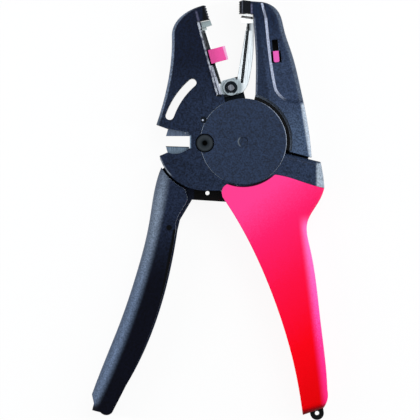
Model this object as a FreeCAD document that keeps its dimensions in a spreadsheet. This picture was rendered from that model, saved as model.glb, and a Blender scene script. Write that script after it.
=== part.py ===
import FreeCAD, Part
import math
import os
import types

import Sketcher

# Automatic wire stripper with a side cutter. The tool lies on its rear face: the jaws point along +Y,
# the front face looks along +Z, and the origin is on the main pivot, level with the rear face.

# Driving sizes in millimetres and degrees: name, value, meaning.
SIZES = [
    ("cover_thick", 1.6, "hub cover discs"),
    ("wall", 1.8, "frame walls beside the mechanism"),
    ("play", 0.2, "running gap between layers"),
    ("lug_thick", 1.7, "pivot lugs of the right jaw"),
    ("lever_thick", 2.2, "lever plate"),
    ("draw_thick", 2.0, "draw plate"),
    ("rocker_thick", 1.8, "rocker"),
    ("spring_room", 2.4, "height left for the return spring"),
    ("blade_thick", 1.6, "cutter blades"),
    ("blade_gap", 0.1, "gap between the shearing blades"),
    ("arm_thick", 1.6, "stripping blade arms"),
    ("strip_width", 10.0, "stripping blades, front to rear"),
    ("clip_thick", 0.7, "retaining clip of the hub pin"),
    ("sleeve_skin", 2.2, "grip sleeve over the handle core"),
    ("fit", 0.1, "gap between seated pieces"),
    ("pin_fit", 0.05, "radial gap of pins in their bores"),
    ("slot_play", 0.35, "side gap of pins in their slots"),
    ("lever_pivot_x", -17.92, "lever pivot, across"),
    ("lever_pivot_y", -0.65, "lever pivot, along"),
    ("channel_tilt", 15.0, "lean of the stripping channel"),
    ("hub_offset", 1.0, "hub pin, to the right of the channel line"),
    ("hub_reach", 25.84, "hub pin, up the channel from the main pivot"),
    ("squeeze", 36.0, "lever travel"),
    ("jaw_close", 13.0, "right jaw travel"),
    ("rocker_turn", 75.0, "rocker travel"),
    ("pull", 14.0, "stripping travel"),
    ("drive_reach", 24.0, "drive pin from the lever pivot"),
    ("drive_angle", -61.9, "drive pin direction at rest"),
    ("crank_reach", 11.5, "rocker pin from the main pivot"),
    ("main_pin", 3.0, "main pivot pin, radius"),
    ("lever_pin", 2.6, "lever pivot rivet shank, radius"),
    ("bush_wall", 1.2, "lever bush"),
    ("rivet_head", 4.3, "lever pivot rivet head, radius"),
    ("drive_pin", 1.6, "drive pin, radius"),
    ("crank_pin", 1.5, "rocker pin, radius"),
    ("hub_pin", 1.4, "hub pin, radius"),
    ("clip_radius", 3.0, "retaining clip, radius"),
    ("link_rim", 1.6, "metal left around slots and pins"),
    ("cover_radius", 20.1, "hub cover discs, radius"),
    ("cover_edge", 0.4, "bevel of the hub covers"),
    ("dimple", 2.3, "centre dimple of the front cover, radius"),
    ("cavity", 18.6, "mechanism cavity, radius"),
    ("well_gap", 0.65, "room outside the links of the drive"),
    ("sweep_gap", 0.75, "room outside the swinging lever plate and blade"),
    ("eye_rim", 3.1, "lever plate around its bush"),
    ("eye_room", 2.9, "room around the eye of the lever plate"),
    ("lug_hub", 6.5, "pivot eyes of the right jaw, radius"),
    ("tongue_reach", 31.3, "tongue of the right jaw that closes the slit above the shoulder, radius"),
    ("tongue_low", -22.0, "lower edge of the tongue, direction"),
    ("nose_radius", 21.97, "cutter nose about the lever pivot"),
    ("lever_gap", 1.15, "gap from the nose to the lever handle"),
    ("jaw_arc", 22.8, "hollow of the right jaw about the main pivot"),
    ("window_radius", 36.3, "arc window of the left jaw"),
    ("window_width", 4.0, "arc window of the left jaw"),
    ("window_start", 130.9, "arc window, first end"),
    ("window_end", 160.5, "arc window, last end"),
    ("small_pin", 1.4, "small pins, radius"),
    ("seam_pin_rise", 0.916, "seam pin, beyond the edge of the hub covers"),
    ("seam_pin_angle", 151.28, "seam pin, direction"),
    ("rivet_dot", 0.9, "centre punch of the rivet head, radius"),
    ("blade_pin", 1.1, "cutter blade pins, radius"),
    ("peep_hole", 0.95, "open hole beside the drive pin, radius"),
    ("teeth", 5, "teeth of each grip pad"),
    ("tooth_depth", 0.7, "teeth of the grip pads"),
    ("jaw_round", 2.0, "rounded outer edges of the jaws"),
    ("jaw_side", 3.0, "rounded outer side of the right jaw"),
    ("jaw_bevel", 0.8, "bevelled inner edges of the jaws"),
    ("shoulder_round", 2.6, "rounded outer edge of the shoulder"),
    ("grip_round", 4.0, "rounded outer edge of the red grip"),
    ("lever_round", 6.0, "rounded outer edge of the lever handle, front"),
    ("lever_round_rear", 4.0, "rounded outer edge of the lever handle, rear"),
    ("pad_step", 1.3, "raised pad of the right jaw"),
    ("ridge_bevel", 1.2, "sloping edge of the raised pad"),
    ("blade_relief", 3.0, "hollow behind the right jaw's inner edge"),
    ("slider_width", 2.6, "depth slider"),
    ("slider_length", 5.2, "depth slider"),
    ("slider_round", 0.7, "rounded lower corners of the depth slider"),
    ("eye_radius", 3.17, "lanyard eye, outside"),
    ("eye_bore", 1.0, "lanyard eye, bore radius"),
    ("eye_thick", 4.0, "lanyard eye, thickness"),
    ("wire", 0.24, "return spring wire, radius"),
    ("coil", 3.65, "return spring, mean radius"),
    ("spring_leg", 9.5, "return spring legs"),
    ("arm_spring", 0.45, "blade arm spring, radius"),
    ("arm_groove", 1.2, "groove of the blade arm spring, width"),
    ("rail_depth", 4.0, "depth of the left blade arm's guide rail"),
    ("rail_floor", 0.8, "floor of the guide rail"),
    ("edge_grind", 0.35, "ground edge of the fixed cutter blade"),
]

doc = FreeCAD.newDocument("wire_stripper")
sheet = doc.addObject("Spreadsheet::Sheet", "sizes")
for row, (name, number, meaning) in enumerate(SIZES, 1):
    sheet.set(f"A{row}", name)
    sheet.set(f"B{row}", str(number))
    sheet.set(f"C{row}", meaning)
    sheet.setAlias(f"B{row}", name)
doc.recompute()
size = types.SimpleNamespace(**{name: float(sheet.get(name)) for name, number, meaning in SIZES})

# Layers from the rear face to the front face. A gap of one play follows each moving layer and the rear wall.
LAYERS = [
    ("rear_cover", "cover_thick", False),
    ("rear_wall", "wall", True),
    ("rear_lug", "lug_thick", True),
    ("lever", "lever_thick", True),
    ("draw", "draw_thick", True),
    ("rocker", "rocker_thick", True),
    ("spring", "spring_room", True),
    ("front_lug", "lug_thick", True),
    ("front_wall", "wall", False),
    ("front_cover", "cover_thick", False),
]
LOW = {}
HIGH = {}
height = "0"
for name, thick, runs in LAYERS:
    LOW[name] = height
    HIGH[name] = f"{height} + sizes.{thick}"
    height = HIGH[name] + (" + sizes.play" if runs else "")
REAR = "0"
FRONT = HIGH["front_cover"]
MIDDLE = f"({FRONT}) / 2"
SPLIT = f"{HIGH['lever']} + sizes.play / 2"
MOVING_LOW = HIGH["lever"]
MOVING_HIGH = f"{MOVING_LOW} + sizes.blade_thick"
FIXED_LOW = f"{MOVING_HIGH} + sizes.blade_gap"
FIXED_HIGH = f"{FIXED_LOW} + sizes.blade_thick"
BLADE_PIN_HIGH = f"{FIXED_HIGH} + 3 * sizes.blade_thick"
DOWEL_LOW = "2 * sizes.wall"
DOWEL_HIGH = f"{FRONT} - 2 * sizes.wall"
EYE_LOW = f"{MIDDLE} - sizes.eye_thick / 2"
EYE_HIGH = f"{MIDDLE} + sizes.eye_thick / 2"


def value(expression):
    """The number that a sheet expression gives."""
    return float(sheet.evalExpression(expression))


def vec(point, z=0.0):
    return FreeCAD.Vector(point[0], point[1], z)


def polar(centre, radius, angle):
    turn = math.radians(angle)
    return (centre[0] + radius * math.cos(turn), centre[1] + radius * math.sin(turn))


def turned(point, angle):
    """A point turned about the main pivot."""
    c = math.cos(math.radians(angle))
    s = math.sin(math.radians(angle))
    return (point[0] * c - point[1] * s, point[0] * s + point[1] * c)


def channel(across, down):
    """A point given across and down the leaning stripping channel."""
    lean = math.radians(size.channel_tilt)
    x = across * math.cos(lean) + down * math.sin(lean)
    y = across * math.sin(lean) - down * math.cos(lean)
    return (x, y)


MAIN = (0.0, 0.0)
LEVER = (size.lever_pivot_x, size.lever_pivot_y)
HUB = channel(size.hub_offset, -size.hub_reach)
DRIVE = polar(LEVER, size.drive_reach, size.drive_angle)
CRANK_ANGLE = 180 + size.channel_tilt - size.rocker_turn / 2
CRANK = polar(MAIN, size.crank_reach, CRANK_ANGLE)
PATH_STEPS = 8


def drive_path(driven_turn):
    """Where the drive pin runs, seen from a piece that turns about the main pivot by driven_turn."""
    points = []
    for step in range(PATH_STEPS + 1):
        share = step / PATH_STEPS
        pin = polar(LEVER, size.drive_reach, size.drive_angle + share * size.squeeze)
        points.append(turned(pin, -share * driven_turn))
    return points


SLOT_HALF = size.drive_pin + size.slot_play
WELL = max(math.hypot(*point) for point in drive_path(0)) + SLOT_HALF + size.link_rim + size.well_gap
# The end of the lever plate around the drive pin, and the tip of the moving cutter blade.
TANG = [(DRIVE[0] + x, DRIVE[1] + y) for x, y in [(2.72, 0.22), (2.32, -2.78), (-1.48, -6.08)]]
TANG_SWEEP = max(math.dist(LEVER, corner) for corner in TANG) + size.sweep_gap
MOVING_TIP = (-36.0, 2.7)
BLADE_SWEEP = math.dist(LEVER, MOVING_TIP) + size.sweep_gap


# Outlines: each is a function that adds its edges to a sketch.
def path(start, *steps):
    def add(sketch):
        here = vec(start)
        for kind, *points in steps:
            ends = [vec(point) for point in points]
            if kind == "line":
                for end in ends:
                    sketch.addGeometry(Part.LineSegment(here, end))
                    here = end
            if kind == "arc":
                sketch.addGeometry(Part.Arc(here, ends[0], ends[1]))
            if kind == "curve":
                curve = Part.BSplineCurve()
                curve.interpolate([here] + ends)
                sketch.addGeometry(curve)
            here = ends[-1]
        if not here.isEqual(vec(start), 1e-6):
            sketch.addGeometry(Part.LineSegment(here, vec(start)))
    return add


def circle(centre, radius):
    def add(sketch):
        number = value(radius)
        index = sketch.addGeometry(Part.Circle(vec(centre), FreeCAD.Vector(0, 0, 1), number))
        limit = sketch.addConstraint(Sketcher.Constraint("Radius", index, number))
        sketch.setExpression(f"Constraints[{limit}]", radius)
    return add


def capsule(first, last, half):
    """A straight strip with round ends."""
    a = vec(first)
    b = vec(last)
    along = (b - a).normalize() * half
    side = FreeCAD.Vector(-along.y, along.x, 0)
    return path(a - side, ("line", b - side), ("arc", b + along, b + side),
                ("line", a + side), ("arc", a - along, a - side))


def track(points, half):
    """A strip with round ends along a curve."""
    line = [vec(point) for point in points]
    curve = Part.BSplineCurve()
    curve.interpolate(line)
    ahead = [curve.tangent(curve.parameter(point))[0] * half for point in line]
    left = [p + FreeCAD.Vector(-t.y, t.x, 0) for p, t in zip(line, ahead)]
    right = [p - FreeCAD.Vector(-t.y, t.x, 0) for p, t in zip(line, ahead)]
    return path(right[0], ("curve", *right[1:]), ("arc", line[-1] + ahead[-1], left[-1]),
                ("curve", *left[-2::-1]), ("arc", line[0] - ahead[0], right[0]))


def sector(centre, radius, start, end):
    """A pie piece about a pivot."""
    return path(centre, ("line", polar(centre, radius, start)),
                ("arc", polar(centre, radius, (start + end) / 2), polar(centre, radius, end)))


def arc_strip(centre, radius, half, start, end):
    """A curved strip with round ends about a pivot."""
    middle = (start + end) / 2
    return path(polar(centre, radius + half, start),
                ("arc", polar(centre, radius + half, middle), polar(centre, radius + half, end)),
                ("arc", polar(polar(centre, radius, end), half, end + 90), polar(centre, radius - half, end)),
                ("arc", polar(centre, radius - half, middle), polar(centre, radius - half, start)),
                ("arc", polar(polar(centre, radius, start), half, start - 90),
                 polar(centre, radius + half, start)))


# Features
PIECES = {}
SNAP = 1e-3


def new_body(label):
    body = doc.addObject("PartDesign::Body", label)
    body.Label = label
    PIECES[label] = body
    return body


def new_sketch(body, low, outlines):
    plane = next(item for item in body.Origin.OriginFeatures if item.Role == "XY_Plane")
    sketch = body.newObject("Sketcher::SketchObject", body.Label + "_sketch")
    sketch.AttachmentSupport = (plane, [""])
    sketch.MapMode = "FlatFace"
    sketch.setExpression("AttachmentOffset.Base.z", low)
    for outline in outlines:
        outline(sketch)
    return sketch


def pad(body, low, high, *outlines):
    feature = body.newObject("PartDesign::Pad", body.Label + "_pad")
    feature.Profile = new_sketch(body, low, outlines)
    feature.setExpression("Length", f"({high}) - ({low})")
    body.Tip = feature


def cut(body, low, high, *outlines):
    doc.recompute()
    before = body.Shape.Volume
    feature = body.newObject("PartDesign::Pocket", body.Label + "_cut")
    feature.Profile = new_sketch(body, low, outlines)
    feature.Reversed = True
    feature.setExpression("Length", f"({high}) - ({low})")
    body.Tip = feature
    doc.recompute()
    if body.Shape.Volume >= before:
        raise ValueError(f"a cut in {body.Label} removed nothing")


def ease_edges(body, kind, chosen):
    """Add a fillet or chamfer on the edges of the body that the test picks."""
    doc.recompute()
    base = body.Tip
    names = [f"Edge{number}" for number, edge in enumerate(base.Shape.Edges, 1) if chosen(edge)]
    if not names:
        raise ValueError(f"no edge to ease on {body.Label}")
    feature = body.newObject(kind, body.Label + "_edge")
    feature.Base = (base, names)
    body.Tip = feature
    return feature


def round_edges(body, radius, chosen):
    ease_edges(body, "PartDesign::Fillet", chosen).setExpression("Radius", radius)
    doc.recompute()


def bevel_edges(body, reach, chosen):
    ease_edges(body, "PartDesign::Chamfer", chosen).setExpression("Size", reach)
    doc.recompute()


def at_height(edge, expression):
    level = value(expression)
    return all(abs(vertex.Z - level) < SNAP for vertex in edge.Vertexes)


def ends_at(edge, *points):
    """Whether each point, seen from the front, is an end of the edge."""
    ends = [FreeCAD.Vector(vertex.X, vertex.Y, 0) for vertex in edge.Vertexes]
    return all(any(end.isEqual(vec(point), SNAP) for end in ends) for point in points)


def rod(name, centre, low, high, radius):
    item = doc.addObject("Part::Cylinder", name)
    item.Placement = FreeCAD.Placement(vec(centre), FreeCAD.Rotation())
    item.setExpression("Placement.Base.z", low)
    item.setExpression("Height", f"({high}) - ({low})")
    item.setExpression("Radius", radius)
    return item


def group(label, rods):
    item = doc.addObject("Part::Compound", label)
    item.Label = label
    item.Links = rods
    PIECES[label] = item


# The fixed body: two half shells with the left jaw, cutter nose, shoulder and handle core.
# The top edge of the red grip is also the lower edge of the shells.
LOBE = [(-9.0, -20.7), (-6.2, -19.4)]
SADDLE = [(0.8, -20.5), (9.6, -18.0), (14.75, -15.3)]
SHOULDER_SEAM = [(20.0, -16.3), (25.5, -18.0), (37.6, -21.5)]
SHOULDER_EDGE = [(37.1, -15.9), (35.9, -9.4)]
CHANNEL_LEFT = -6.5
CHANNEL_RIGHT = 14.0
CHANNEL_FOOT = -10.0
CHANNEL_ROOT = -23.8
CHANNEL_TOP = -56.8
JAW_SHELF = [(-21.6, 55.8), (-18.9, 56.4)]
JAW_CROWN = (-19.1, 63.2)
MOUTH_TOP = (-24.9, 2.6)
MOUTH_FOOT = (-24.9, -1.9)
HUB_WINDOW = [(-9.6, 22.6), (-8.4, 18.4), (0.4, 19.6), (0.4, 22.6)]
WELL_SPAN = (-150, -18)
JAW_SPAN = (-15, 92)
BLADE_SPAN = (130, 220)
PLATE_SPAN = (190, 350)
PLATE_SPAN_FRONT = (190, 277)
TONGUE_TOP = -9.0


def raised(points, lift):
    return [(x, y + lift) for x, y in points]


def shell_outline():
    nose_start = polar(LEVER, size.nose_radius, -152)
    nose_end = polar(LEVER, size.nose_radius, -90)
    lip = polar(MAIN, size.cover_radius, -15.5)
    lip_end = polar(MAIN, size.cover_radius, 91)
    return path(
        JAW_CROWN,
        ("curve", (-25.7, 60.5), (-31.0, 55.9), (-33.2, 48.3)),
        ("curve", (-34.1, 33.5), (-36.9, 19.5), (-40.4, 7.9)),
        ("line", (-35.1, 6.0), (-25.3, 4.4), MOUTH_TOP, MOUTH_FOOT, (-25.0, -3.0)),
        ("line", (-28.4, -5.0)),
        ("curve", (-31.0, -5.6), (-35.3, -5.0)),
        ("line", (-38.9, -6.6), (-38.5, -8.4), nose_start),
        ("arc", polar(LEVER, size.nose_radius, -121), nose_end),
        ("line", (-10.3, nose_end[1])),
        ("curve", *raised(LOBE, size.fit)),
        ("curve", *raised(SADDLE, size.fit)),
        ("curve", *raised(SHOULDER_SEAM, size.fit)),
        ("line", *SHOULDER_EDGE, lip),
        ("arc", polar(MAIN, size.cover_radius, 40), lip_end),
        ("line", (lip_end[0], 22.1), (-9.9, 22.1), (-10.4, 20.6)),
        ("line", channel(CHANNEL_LEFT, CHANNEL_ROOT), channel(CHANNEL_LEFT, CHANNEL_TOP), *JAW_SHELF),
    )


def core_outline(grow):
    """The handle core inside the red grip, or the room for it."""
    return path(
        (-4.5 - grow, -22.0),
        ("curve", (-4.3 - grow, -27.0), (2.9 - grow, -40.6), (16.5 - grow, -70.7),
         (28.6 - grow, -116.0 - grow)),
        ("line", (35.9 + grow, -116.0 - grow)),
        ("curve", (32.7 + grow, -82.0), (28.0 + grow, -49.4), (26.8 + grow, -37.3), (34.2 + grow, -22.0)),
        ("line", (14.0, -13.5)),
    )


DOWELS = [(-25.5, 48.0), (17.5, -52.0), (30.5, -104.0)]
EYE_SWEEP = "sizes.lever_pin + sizes.bush_wall + sizes.eye_rim + sizes.eye_room"
SEAM_PIN = polar(MAIN, size.cover_radius + size.seam_pin_rise, size.seam_pin_angle)
BLADE_PINS = [(-32.0, -7.2), (-27.2, -6.8)]
FIXED_EDGE = [(-36.1, -2.0), (-25.3, -2.3)]
EYE = (34.3, -126.2)
EYE_ROOT = (32.3, -113.0)
POST_ANGLE = -25.0


def fixed_blade_outline(grow):
    (left, left_top), (right, right_top) = FIXED_EDGE
    return path((left - grow, left_top + grow), ("line", (right + grow, right_top + grow)),
                ("line", (-24.6 + grow, -9.0 - grow), (-34.0 - grow, -9.0 - grow)))


def tongue_outline(gap, swing):
    """The tongue of the right jaw under the shoulder, or the room for it."""
    return sector(MAIN, size.tongue_reach + gap, size.tongue_low - 2 * gap, TONGUE_TOP + swing)


def window():
    return arc_strip(MAIN, size.window_radius, size.window_width / 2, size.window_start, size.window_end)


def mechanism_room(body, low, high):
    """Open a half shell for the pieces that turn and slide between the walls."""
    cut(body, low, high, circle(MAIN, "sizes.cavity"))
    cut(body, low, high, sector(MAIN, WELL, *WELL_SPAN))
    cut(body, low, high, sector(MAIN, size.jaw_arc + size.wall, *JAW_SPAN))
    cut(body, low, high, path(
        channel(CHANNEL_LEFT, CHANNEL_FOOT), ("line", channel(CHANNEL_LEFT, -size.hub_reach)),
        ("line", channel(CHANNEL_RIGHT, -size.hub_reach), channel(CHANNEL_RIGHT, CHANNEL_FOOT))))


def frame_half(label, low, high, face, core_low, core_high):
    body = new_body(label)
    pad(body, low, high, shell_outline())
    round_edges(body, "sizes.jaw_round", lambda edge: at_height(edge, face) and (
        edge.CenterOfMass.x < -24 and edge.CenterOfMass.y > 9))
    inner = (channel(CHANNEL_LEFT, CHANNEL_ROOT), channel(CHANNEL_LEFT, CHANNEL_TOP))
    bevel_edges(body, "sizes.jaw_bevel", lambda edge: at_height(edge, face) and ends_at(edge, *inner))
    round_edges(body, "sizes.shoulder_round", lambda edge: at_height(edge, face) and (
        edge.CenterOfMass.x > 27 and edge.CenterOfMass.y > -20))
    pad(body, core_low, core_high, core_outline(0))
    cut(body, low, high, window())
    return body


def make_frame():
    rear = frame_half("frame_rear", REAR, SPLIT, REAR, "sizes.sleeve_skin", SPLIT)
    room = HIGH["rear_wall"]
    mechanism_room(rear, room, SPLIT)
    cut(rear, room, SPLIT, circle(LEVER, EYE_SWEEP))
    cut(rear, room, SPLIT, sector(LEVER, BLADE_SWEEP, *BLADE_SPAN))
    cut(rear, room, SPLIT, sector(LEVER, TANG_SWEEP, *PLATE_SPAN))
    cut(rear, room, LOW["lever"], tongue_outline(3 * size.play, size.jaw_close))
    cut(rear, LOW["rear_cover"], HIGH["rear_cover"], circle(LEVER, "sizes.rivet_head + sizes.fit"))
    cut(rear, LOW["rear_cover"], HIGH["rear_cover"], circle(MAIN, "sizes.cover_radius + sizes.fit"))

    front = frame_half("frame_front", SPLIT, FRONT, FRONT, SPLIT, f"{FRONT} - sizes.sleeve_skin")
    mechanism_room(front, SPLIT, LOW["front_wall"])
    cut(front, SPLIT, FIXED_LOW, circle(LEVER, EYE_SWEEP))
    cut(front, SPLIT, FIXED_LOW, sector(LEVER, BLADE_SWEEP, *BLADE_SPAN))
    cut(front, SPLIT, FIXED_LOW, sector(LEVER, TANG_SWEEP, *PLATE_SPAN_FRONT))
    cut(front, FIXED_LOW, FIXED_HIGH, fixed_blade_outline(size.fit))
    cut(front, LOW["front_wall"], FRONT, path(HUB_WINDOW[0], ("line", *HUB_WINDOW[1:])))
    cut(front, LOW["front_cover"], FRONT, circle(LEVER, "sizes.rivet_head + sizes.fit"))
    cut(front, LOW["front_cover"], FRONT, circle(MAIN, "sizes.cover_radius + sizes.fit"))

    for half in (rear, front):
        for centre, pin in [(MAIN, "main_pin"), (LEVER, "lever_pin"), (SEAM_PIN, "small_pin")]:
            cut(half, REAR, FRONT, circle(centre, f"sizes.{pin} + sizes.pin_fit"))
        for centre in DOWELS:
            cut(half, DOWEL_LOW, DOWEL_HIGH, circle(centre, "sizes.small_pin + sizes.pin_fit"))
    cut(front, EYE_LOW, EYE_HIGH, eye_strip(size.fit))
    for spot in BLADE_PINS:
        cut(front, FIXED_LOW, BLADE_PIN_HIGH, circle(spot, "sizes.blade_pin + sizes.pin_fit"))


def eye_strip(grow):
    return capsule(EYE_ROOT, EYE, size.eye_radius + grow)


def make_hub_covers():
    for label, low, high, face in [("hub_cover_rear", REAR, HIGH["rear_cover"], REAR),
                                   ("hub_cover_front", LOW["front_cover"], FRONT, FRONT)]:
        body = new_body(label)
        pad(body, low, high, circle(MAIN, "sizes.cover_radius"))
        round_edges(body, "sizes.cover_edge", lambda edge: at_height(edge, face))
        cut(body, low, high, circle(LEVER, "sizes.rivet_head + sizes.fit"))
        cut(body, low, high, circle(SEAM_PIN, "sizes.small_pin + sizes.fit"))
        if face == FRONT:
            cut(body, f"(({low}) + ({high})) / 2", high, circle(MAIN, "sizes.dimple"))


SLEEVE_SPAN = (-115, -10)
SLEEVE_MOUTH = (-115, -66)


def make_grip_sleeve():
    body = new_body("grip_sleeve")
    lobe_start = (-10.1, -23.6)
    pad(body, REAR, FRONT, path(
        lobe_start,
        ("curve", *LOBE),
        ("curve", *SADDLE),
        ("curve", *SHOULDER_SEAM),
        ("curve", (34.4, -28.9), (29.8, -37.3), (31.0, -49.4), (35.7, -82.0), (39.1, -115.5)),
        ("curve", (38.9, -120.5), (37.1, -123.8)),
        ("line", (33.6, -124.9), (27.7, -126.9)),
        ("curve", (23.1, -101.5), (13.8, -71.7), (0.3, -41.9), (-9.7, -25.6)),
    ))
    for face in (REAR, FRONT):
        round_edges(body, "sizes.grip_round", lambda edge: at_height(edge, face) and (
            edge.CenterOfMass.x > 28.5 and edge.CenterOfMass.y < -40))
    skin = "sizes.sleeve_skin - sizes.fit"
    cut(body, skin, f"{FRONT} - ({skin})", core_outline(size.fit))
    cut(body, HIGH["rear_wall"], LOW["front_wall"], sector(MAIN, WELL, *WELL_SPAN))
    slot = (f"{LOW['lever']} - sizes.play", f"{HIGH['lever']} + sizes.play")
    cut(body, *slot, sector(LEVER, TANG_SWEEP, *SLEEVE_SPAN))
    cut(body, *slot, sector(LEVER, TANG_SWEEP + 3 * size.wall, *SLEEVE_MOUTH))
    cut(body, EYE_LOW, EYE_HIGH, eye_strip(size.fit))


def make_fixed_small_parts():
    PIECES["main_pivot_pin"] = rod("main_pivot_pin", MAIN, HIGH["rear_cover"], LOW["front_cover"],
                                   "sizes.main_pin")

    rivet = new_body("lever_pivot_rivet")
    pad(rivet, REAR + " + sizes.fit", HIGH["rear_cover"], circle(LEVER, "sizes.rivet_head"))
    pad(rivet, HIGH["rear_cover"], LOW["front_cover"], circle(LEVER, "sizes.lever_pin"))
    head = f"{FRONT} - sizes.fit"
    pad(rivet, LOW["front_cover"], head, circle(LEVER, "sizes.rivet_head"))
    round_edges(rivet, "sizes.cover_edge", lambda edge: at_height(edge, head))
    cut(rivet, f"{head} - sizes.rivet_dot", head, circle(LEVER, "sizes.rivet_dot"))

    dowels = [rod("dowel", centre, DOWEL_LOW, DOWEL_HIGH, "sizes.small_pin") for centre in DOWELS]
    dowels.append(rod("seam_pin", SEAM_PIN, "sizes.fit", f"{FRONT} - sizes.fit", "sizes.small_pin"))
    group("frame_dowels", dowels)

    blade = new_body("fixed_cutter_blade")
    pad(blade, FIXED_LOW, FIXED_HIGH, fixed_blade_outline(0))
    bevel_edges(blade, "sizes.edge_grind", lambda edge: at_height(edge, FIXED_HIGH) and (
        ends_at(edge, *FIXED_EDGE)))
    for spot in BLADE_PINS:
        cut(blade, FIXED_LOW, FIXED_HIGH, circle(spot, "sizes.blade_pin + sizes.pin_fit"))
    group("cutter_blade_pins", [rod("blade_pin", spot, FIXED_LOW, BLADE_PIN_HIGH, "sizes.blade_pin")
                                for spot in BLADE_PINS])

    eye = new_body("lanyard_eye")
    pad(eye, EYE_LOW, EYE_HIGH, eye_strip(0))
    cut(eye, EYE_LOW, EYE_HIGH, circle(EYE, "sizes.eye_bore"))


def tooth_line(bottom, top, inward):
    """Points of a row of teeth from bottom to top; inward points into the pad."""
    count = int(size.teeth)
    points = []
    for tooth in range(count):
        low = tooth / count
        root = (tooth + 0.5) / count
        high = (tooth + 1) / count
        for share, depth in ((low, 0.0), (root, size.tooth_depth), (high, 0.0)):
            x = bottom[0] + (top[0] - bottom[0]) * share + inward[0] * depth
            y = bottom[1] + (top[1] - bottom[1]) * share + inward[1] * depth
            if not points or (x, y) != points[-1]:
                points.append((x, y))
    return points


def make_left_grip_pad():
    body = new_body("left_grip_pad")
    teeth = tooth_line((-15.64, 57.0), (-17.41, 63.06), (-1.0, 0.0))
    pad(body, "sizes.wall", f"{FRONT} - sizes.wall",
        path(JAW_SHELF[1], ("line", *teeth), ("line", (-18.48, 63.3), JAW_CROWN)))


def make_return_spring():
    """A torsion spring on the main pin: one leg behind the rocker pin, one beside its post."""
    lean = math.degrees(math.atan2(size.spring_leg, size.coil))
    gap = math.degrees((size.crank_pin + size.wire + size.play) / size.crank_reach)
    start = CRANK_ANGLE - gap + lean
    end = POST_ANGLE - gap - lean + 3 * 360
    turns = (end - start) / 360
    wound = turns * 2 * math.pi * size.coil
    room = size.spring_room - 2 * size.wire - size.play
    rise = room * wound / (wound + 2 * size.spring_leg)
    low = value(LOW["spring"]) + size.play / 2 + size.wire + (room - rise) / 2
    helix = Part.makeHelix(rise / turns, rise, size.coil)
    helix.rotate(FreeCAD.Vector(), FreeCAD.Vector(0, 0, 1), start)
    helix.translate(FreeCAD.Vector(0, 0, low))
    climb = size.spring_leg * rise / wound
    first = vec(polar(MAIN, size.coil, start), low)
    last = vec(polar(MAIN, size.coil, end), low + rise)
    foot = first - vec(polar(MAIN, size.spring_leg, start + 90), climb)
    tip = last + vec(polar(MAIN, size.spring_leg, end + 90), climb)
    spine = Part.Wire([Part.makeLine(foot, first), *helix.Edges, Part.makeLine(last, tip)])
    ring = Part.Wire([Part.makeCircle(size.wire, foot, first - foot)])
    spring = doc.addObject("Part::Feature", "return_spring")
    spring.Label = "return_spring"
    spring.Shape = spine.makePipeShell([ring], True, False)
    PIECES["return_spring"] = spring


def make_spring_post():
    reach = math.hypot(size.coil, size.spring_leg) - size.small_pin / 2
    PIECES["spring_post"] = rod("spring_post", polar(MAIN, reach, POST_ANGLE), LOW["spring"],
                                LOW["front_wall"], "sizes.small_pin / 2")


# The lever: a steel plate between two grip halves, with the moving cutter blade and the drive pin.
HANDLE_LEFT = [(-65.8, -105.2), (-56.9, -82.9), (-49.5, -60.6), (-43.9, -38.2), (-39.9, -16.8)]
LINER_RIGHT = [(-48.1, -101.5), (-39.2, -79.2), (-33.2, -55.9), (-30.6, -41.0)]
LINER_STEP = 0.8
GRIP_CORNER = [(-26.3, -24.6), (-26.0, -26.6), (-27.5, -29.9), (-30.0, -34.0), (-31.4, -39.6)]
GRIP_ENDS = (-151, -115)
GRIP_HEAD = polar(LEVER, size.nose_radius + size.lever_gap, GRIP_ENDS[0])
GRIP_FOOT = (-70.4, -117.3)
PLATE_INSET = 2.2
PLATE_END = -149
PEEP_HOLE = (-16.7, -23.8)
GRIP_PIN = (-34.4, -39.8)
HIDDEN_PIN = (-57.5, -106.0)
BLADE_RIVETS = [(-23.0, 3.9), (-26.0, 4.6)]


def lever_grip_outline():
    reach = size.nose_radius + size.lever_gap
    corner = polar(LEVER, reach, GRIP_ENDS[1])
    right = [(x - LINER_STEP, y) for x, y in LINER_RIGHT]
    return path(
        GRIP_HEAD,
        ("arc", polar(LEVER, reach, sum(GRIP_ENDS) / 2), corner),
        ("curve", *GRIP_CORNER),
        ("line", right[-1]),
        ("curve", *right[-2::-1], (-60.9, -125.7)),
        ("arc", (-63.5, -126.9), (-66.3, -125.6)),
        ("line", (-70.2, -124.6), (-69.4, -121.4), GRIP_FOOT),
        ("curve", *HANDLE_LEFT, GRIP_HEAD),
    )


def lever_plate_outline(grow):
    left = [(x + PLATE_INSET - grow, y) for x, y in HANDLE_LEFT]
    right = [(x + grow, y) for x, y in LINER_RIGHT]
    end = PLATE_END - grow
    return path(
        (-65.0 - grow, -116.0 - grow),
        ("curve", *left),
        ("line", polar(LEVER, size.nose_radius + size.lever_gap, end)),
        ("line", polar(LEVER, size.nose_radius - size.wall, end)),
        ("line", (-24.3, -4.0), (-11.5, -4.0), (-9.0, -16.5)),
        ("line", *TANG[:-1], (TANG[-1][0], TANG[-1][1] - grow), (-23.9 + grow, -26.9 - grow)),
        ("line", (-25.1 + grow, -28.9), (-29.5 + grow, -36.3), right[-1]),
        ("curve", *right[-2::-1], (-56.2 + grow, -116.0 - grow)),
    )


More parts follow.
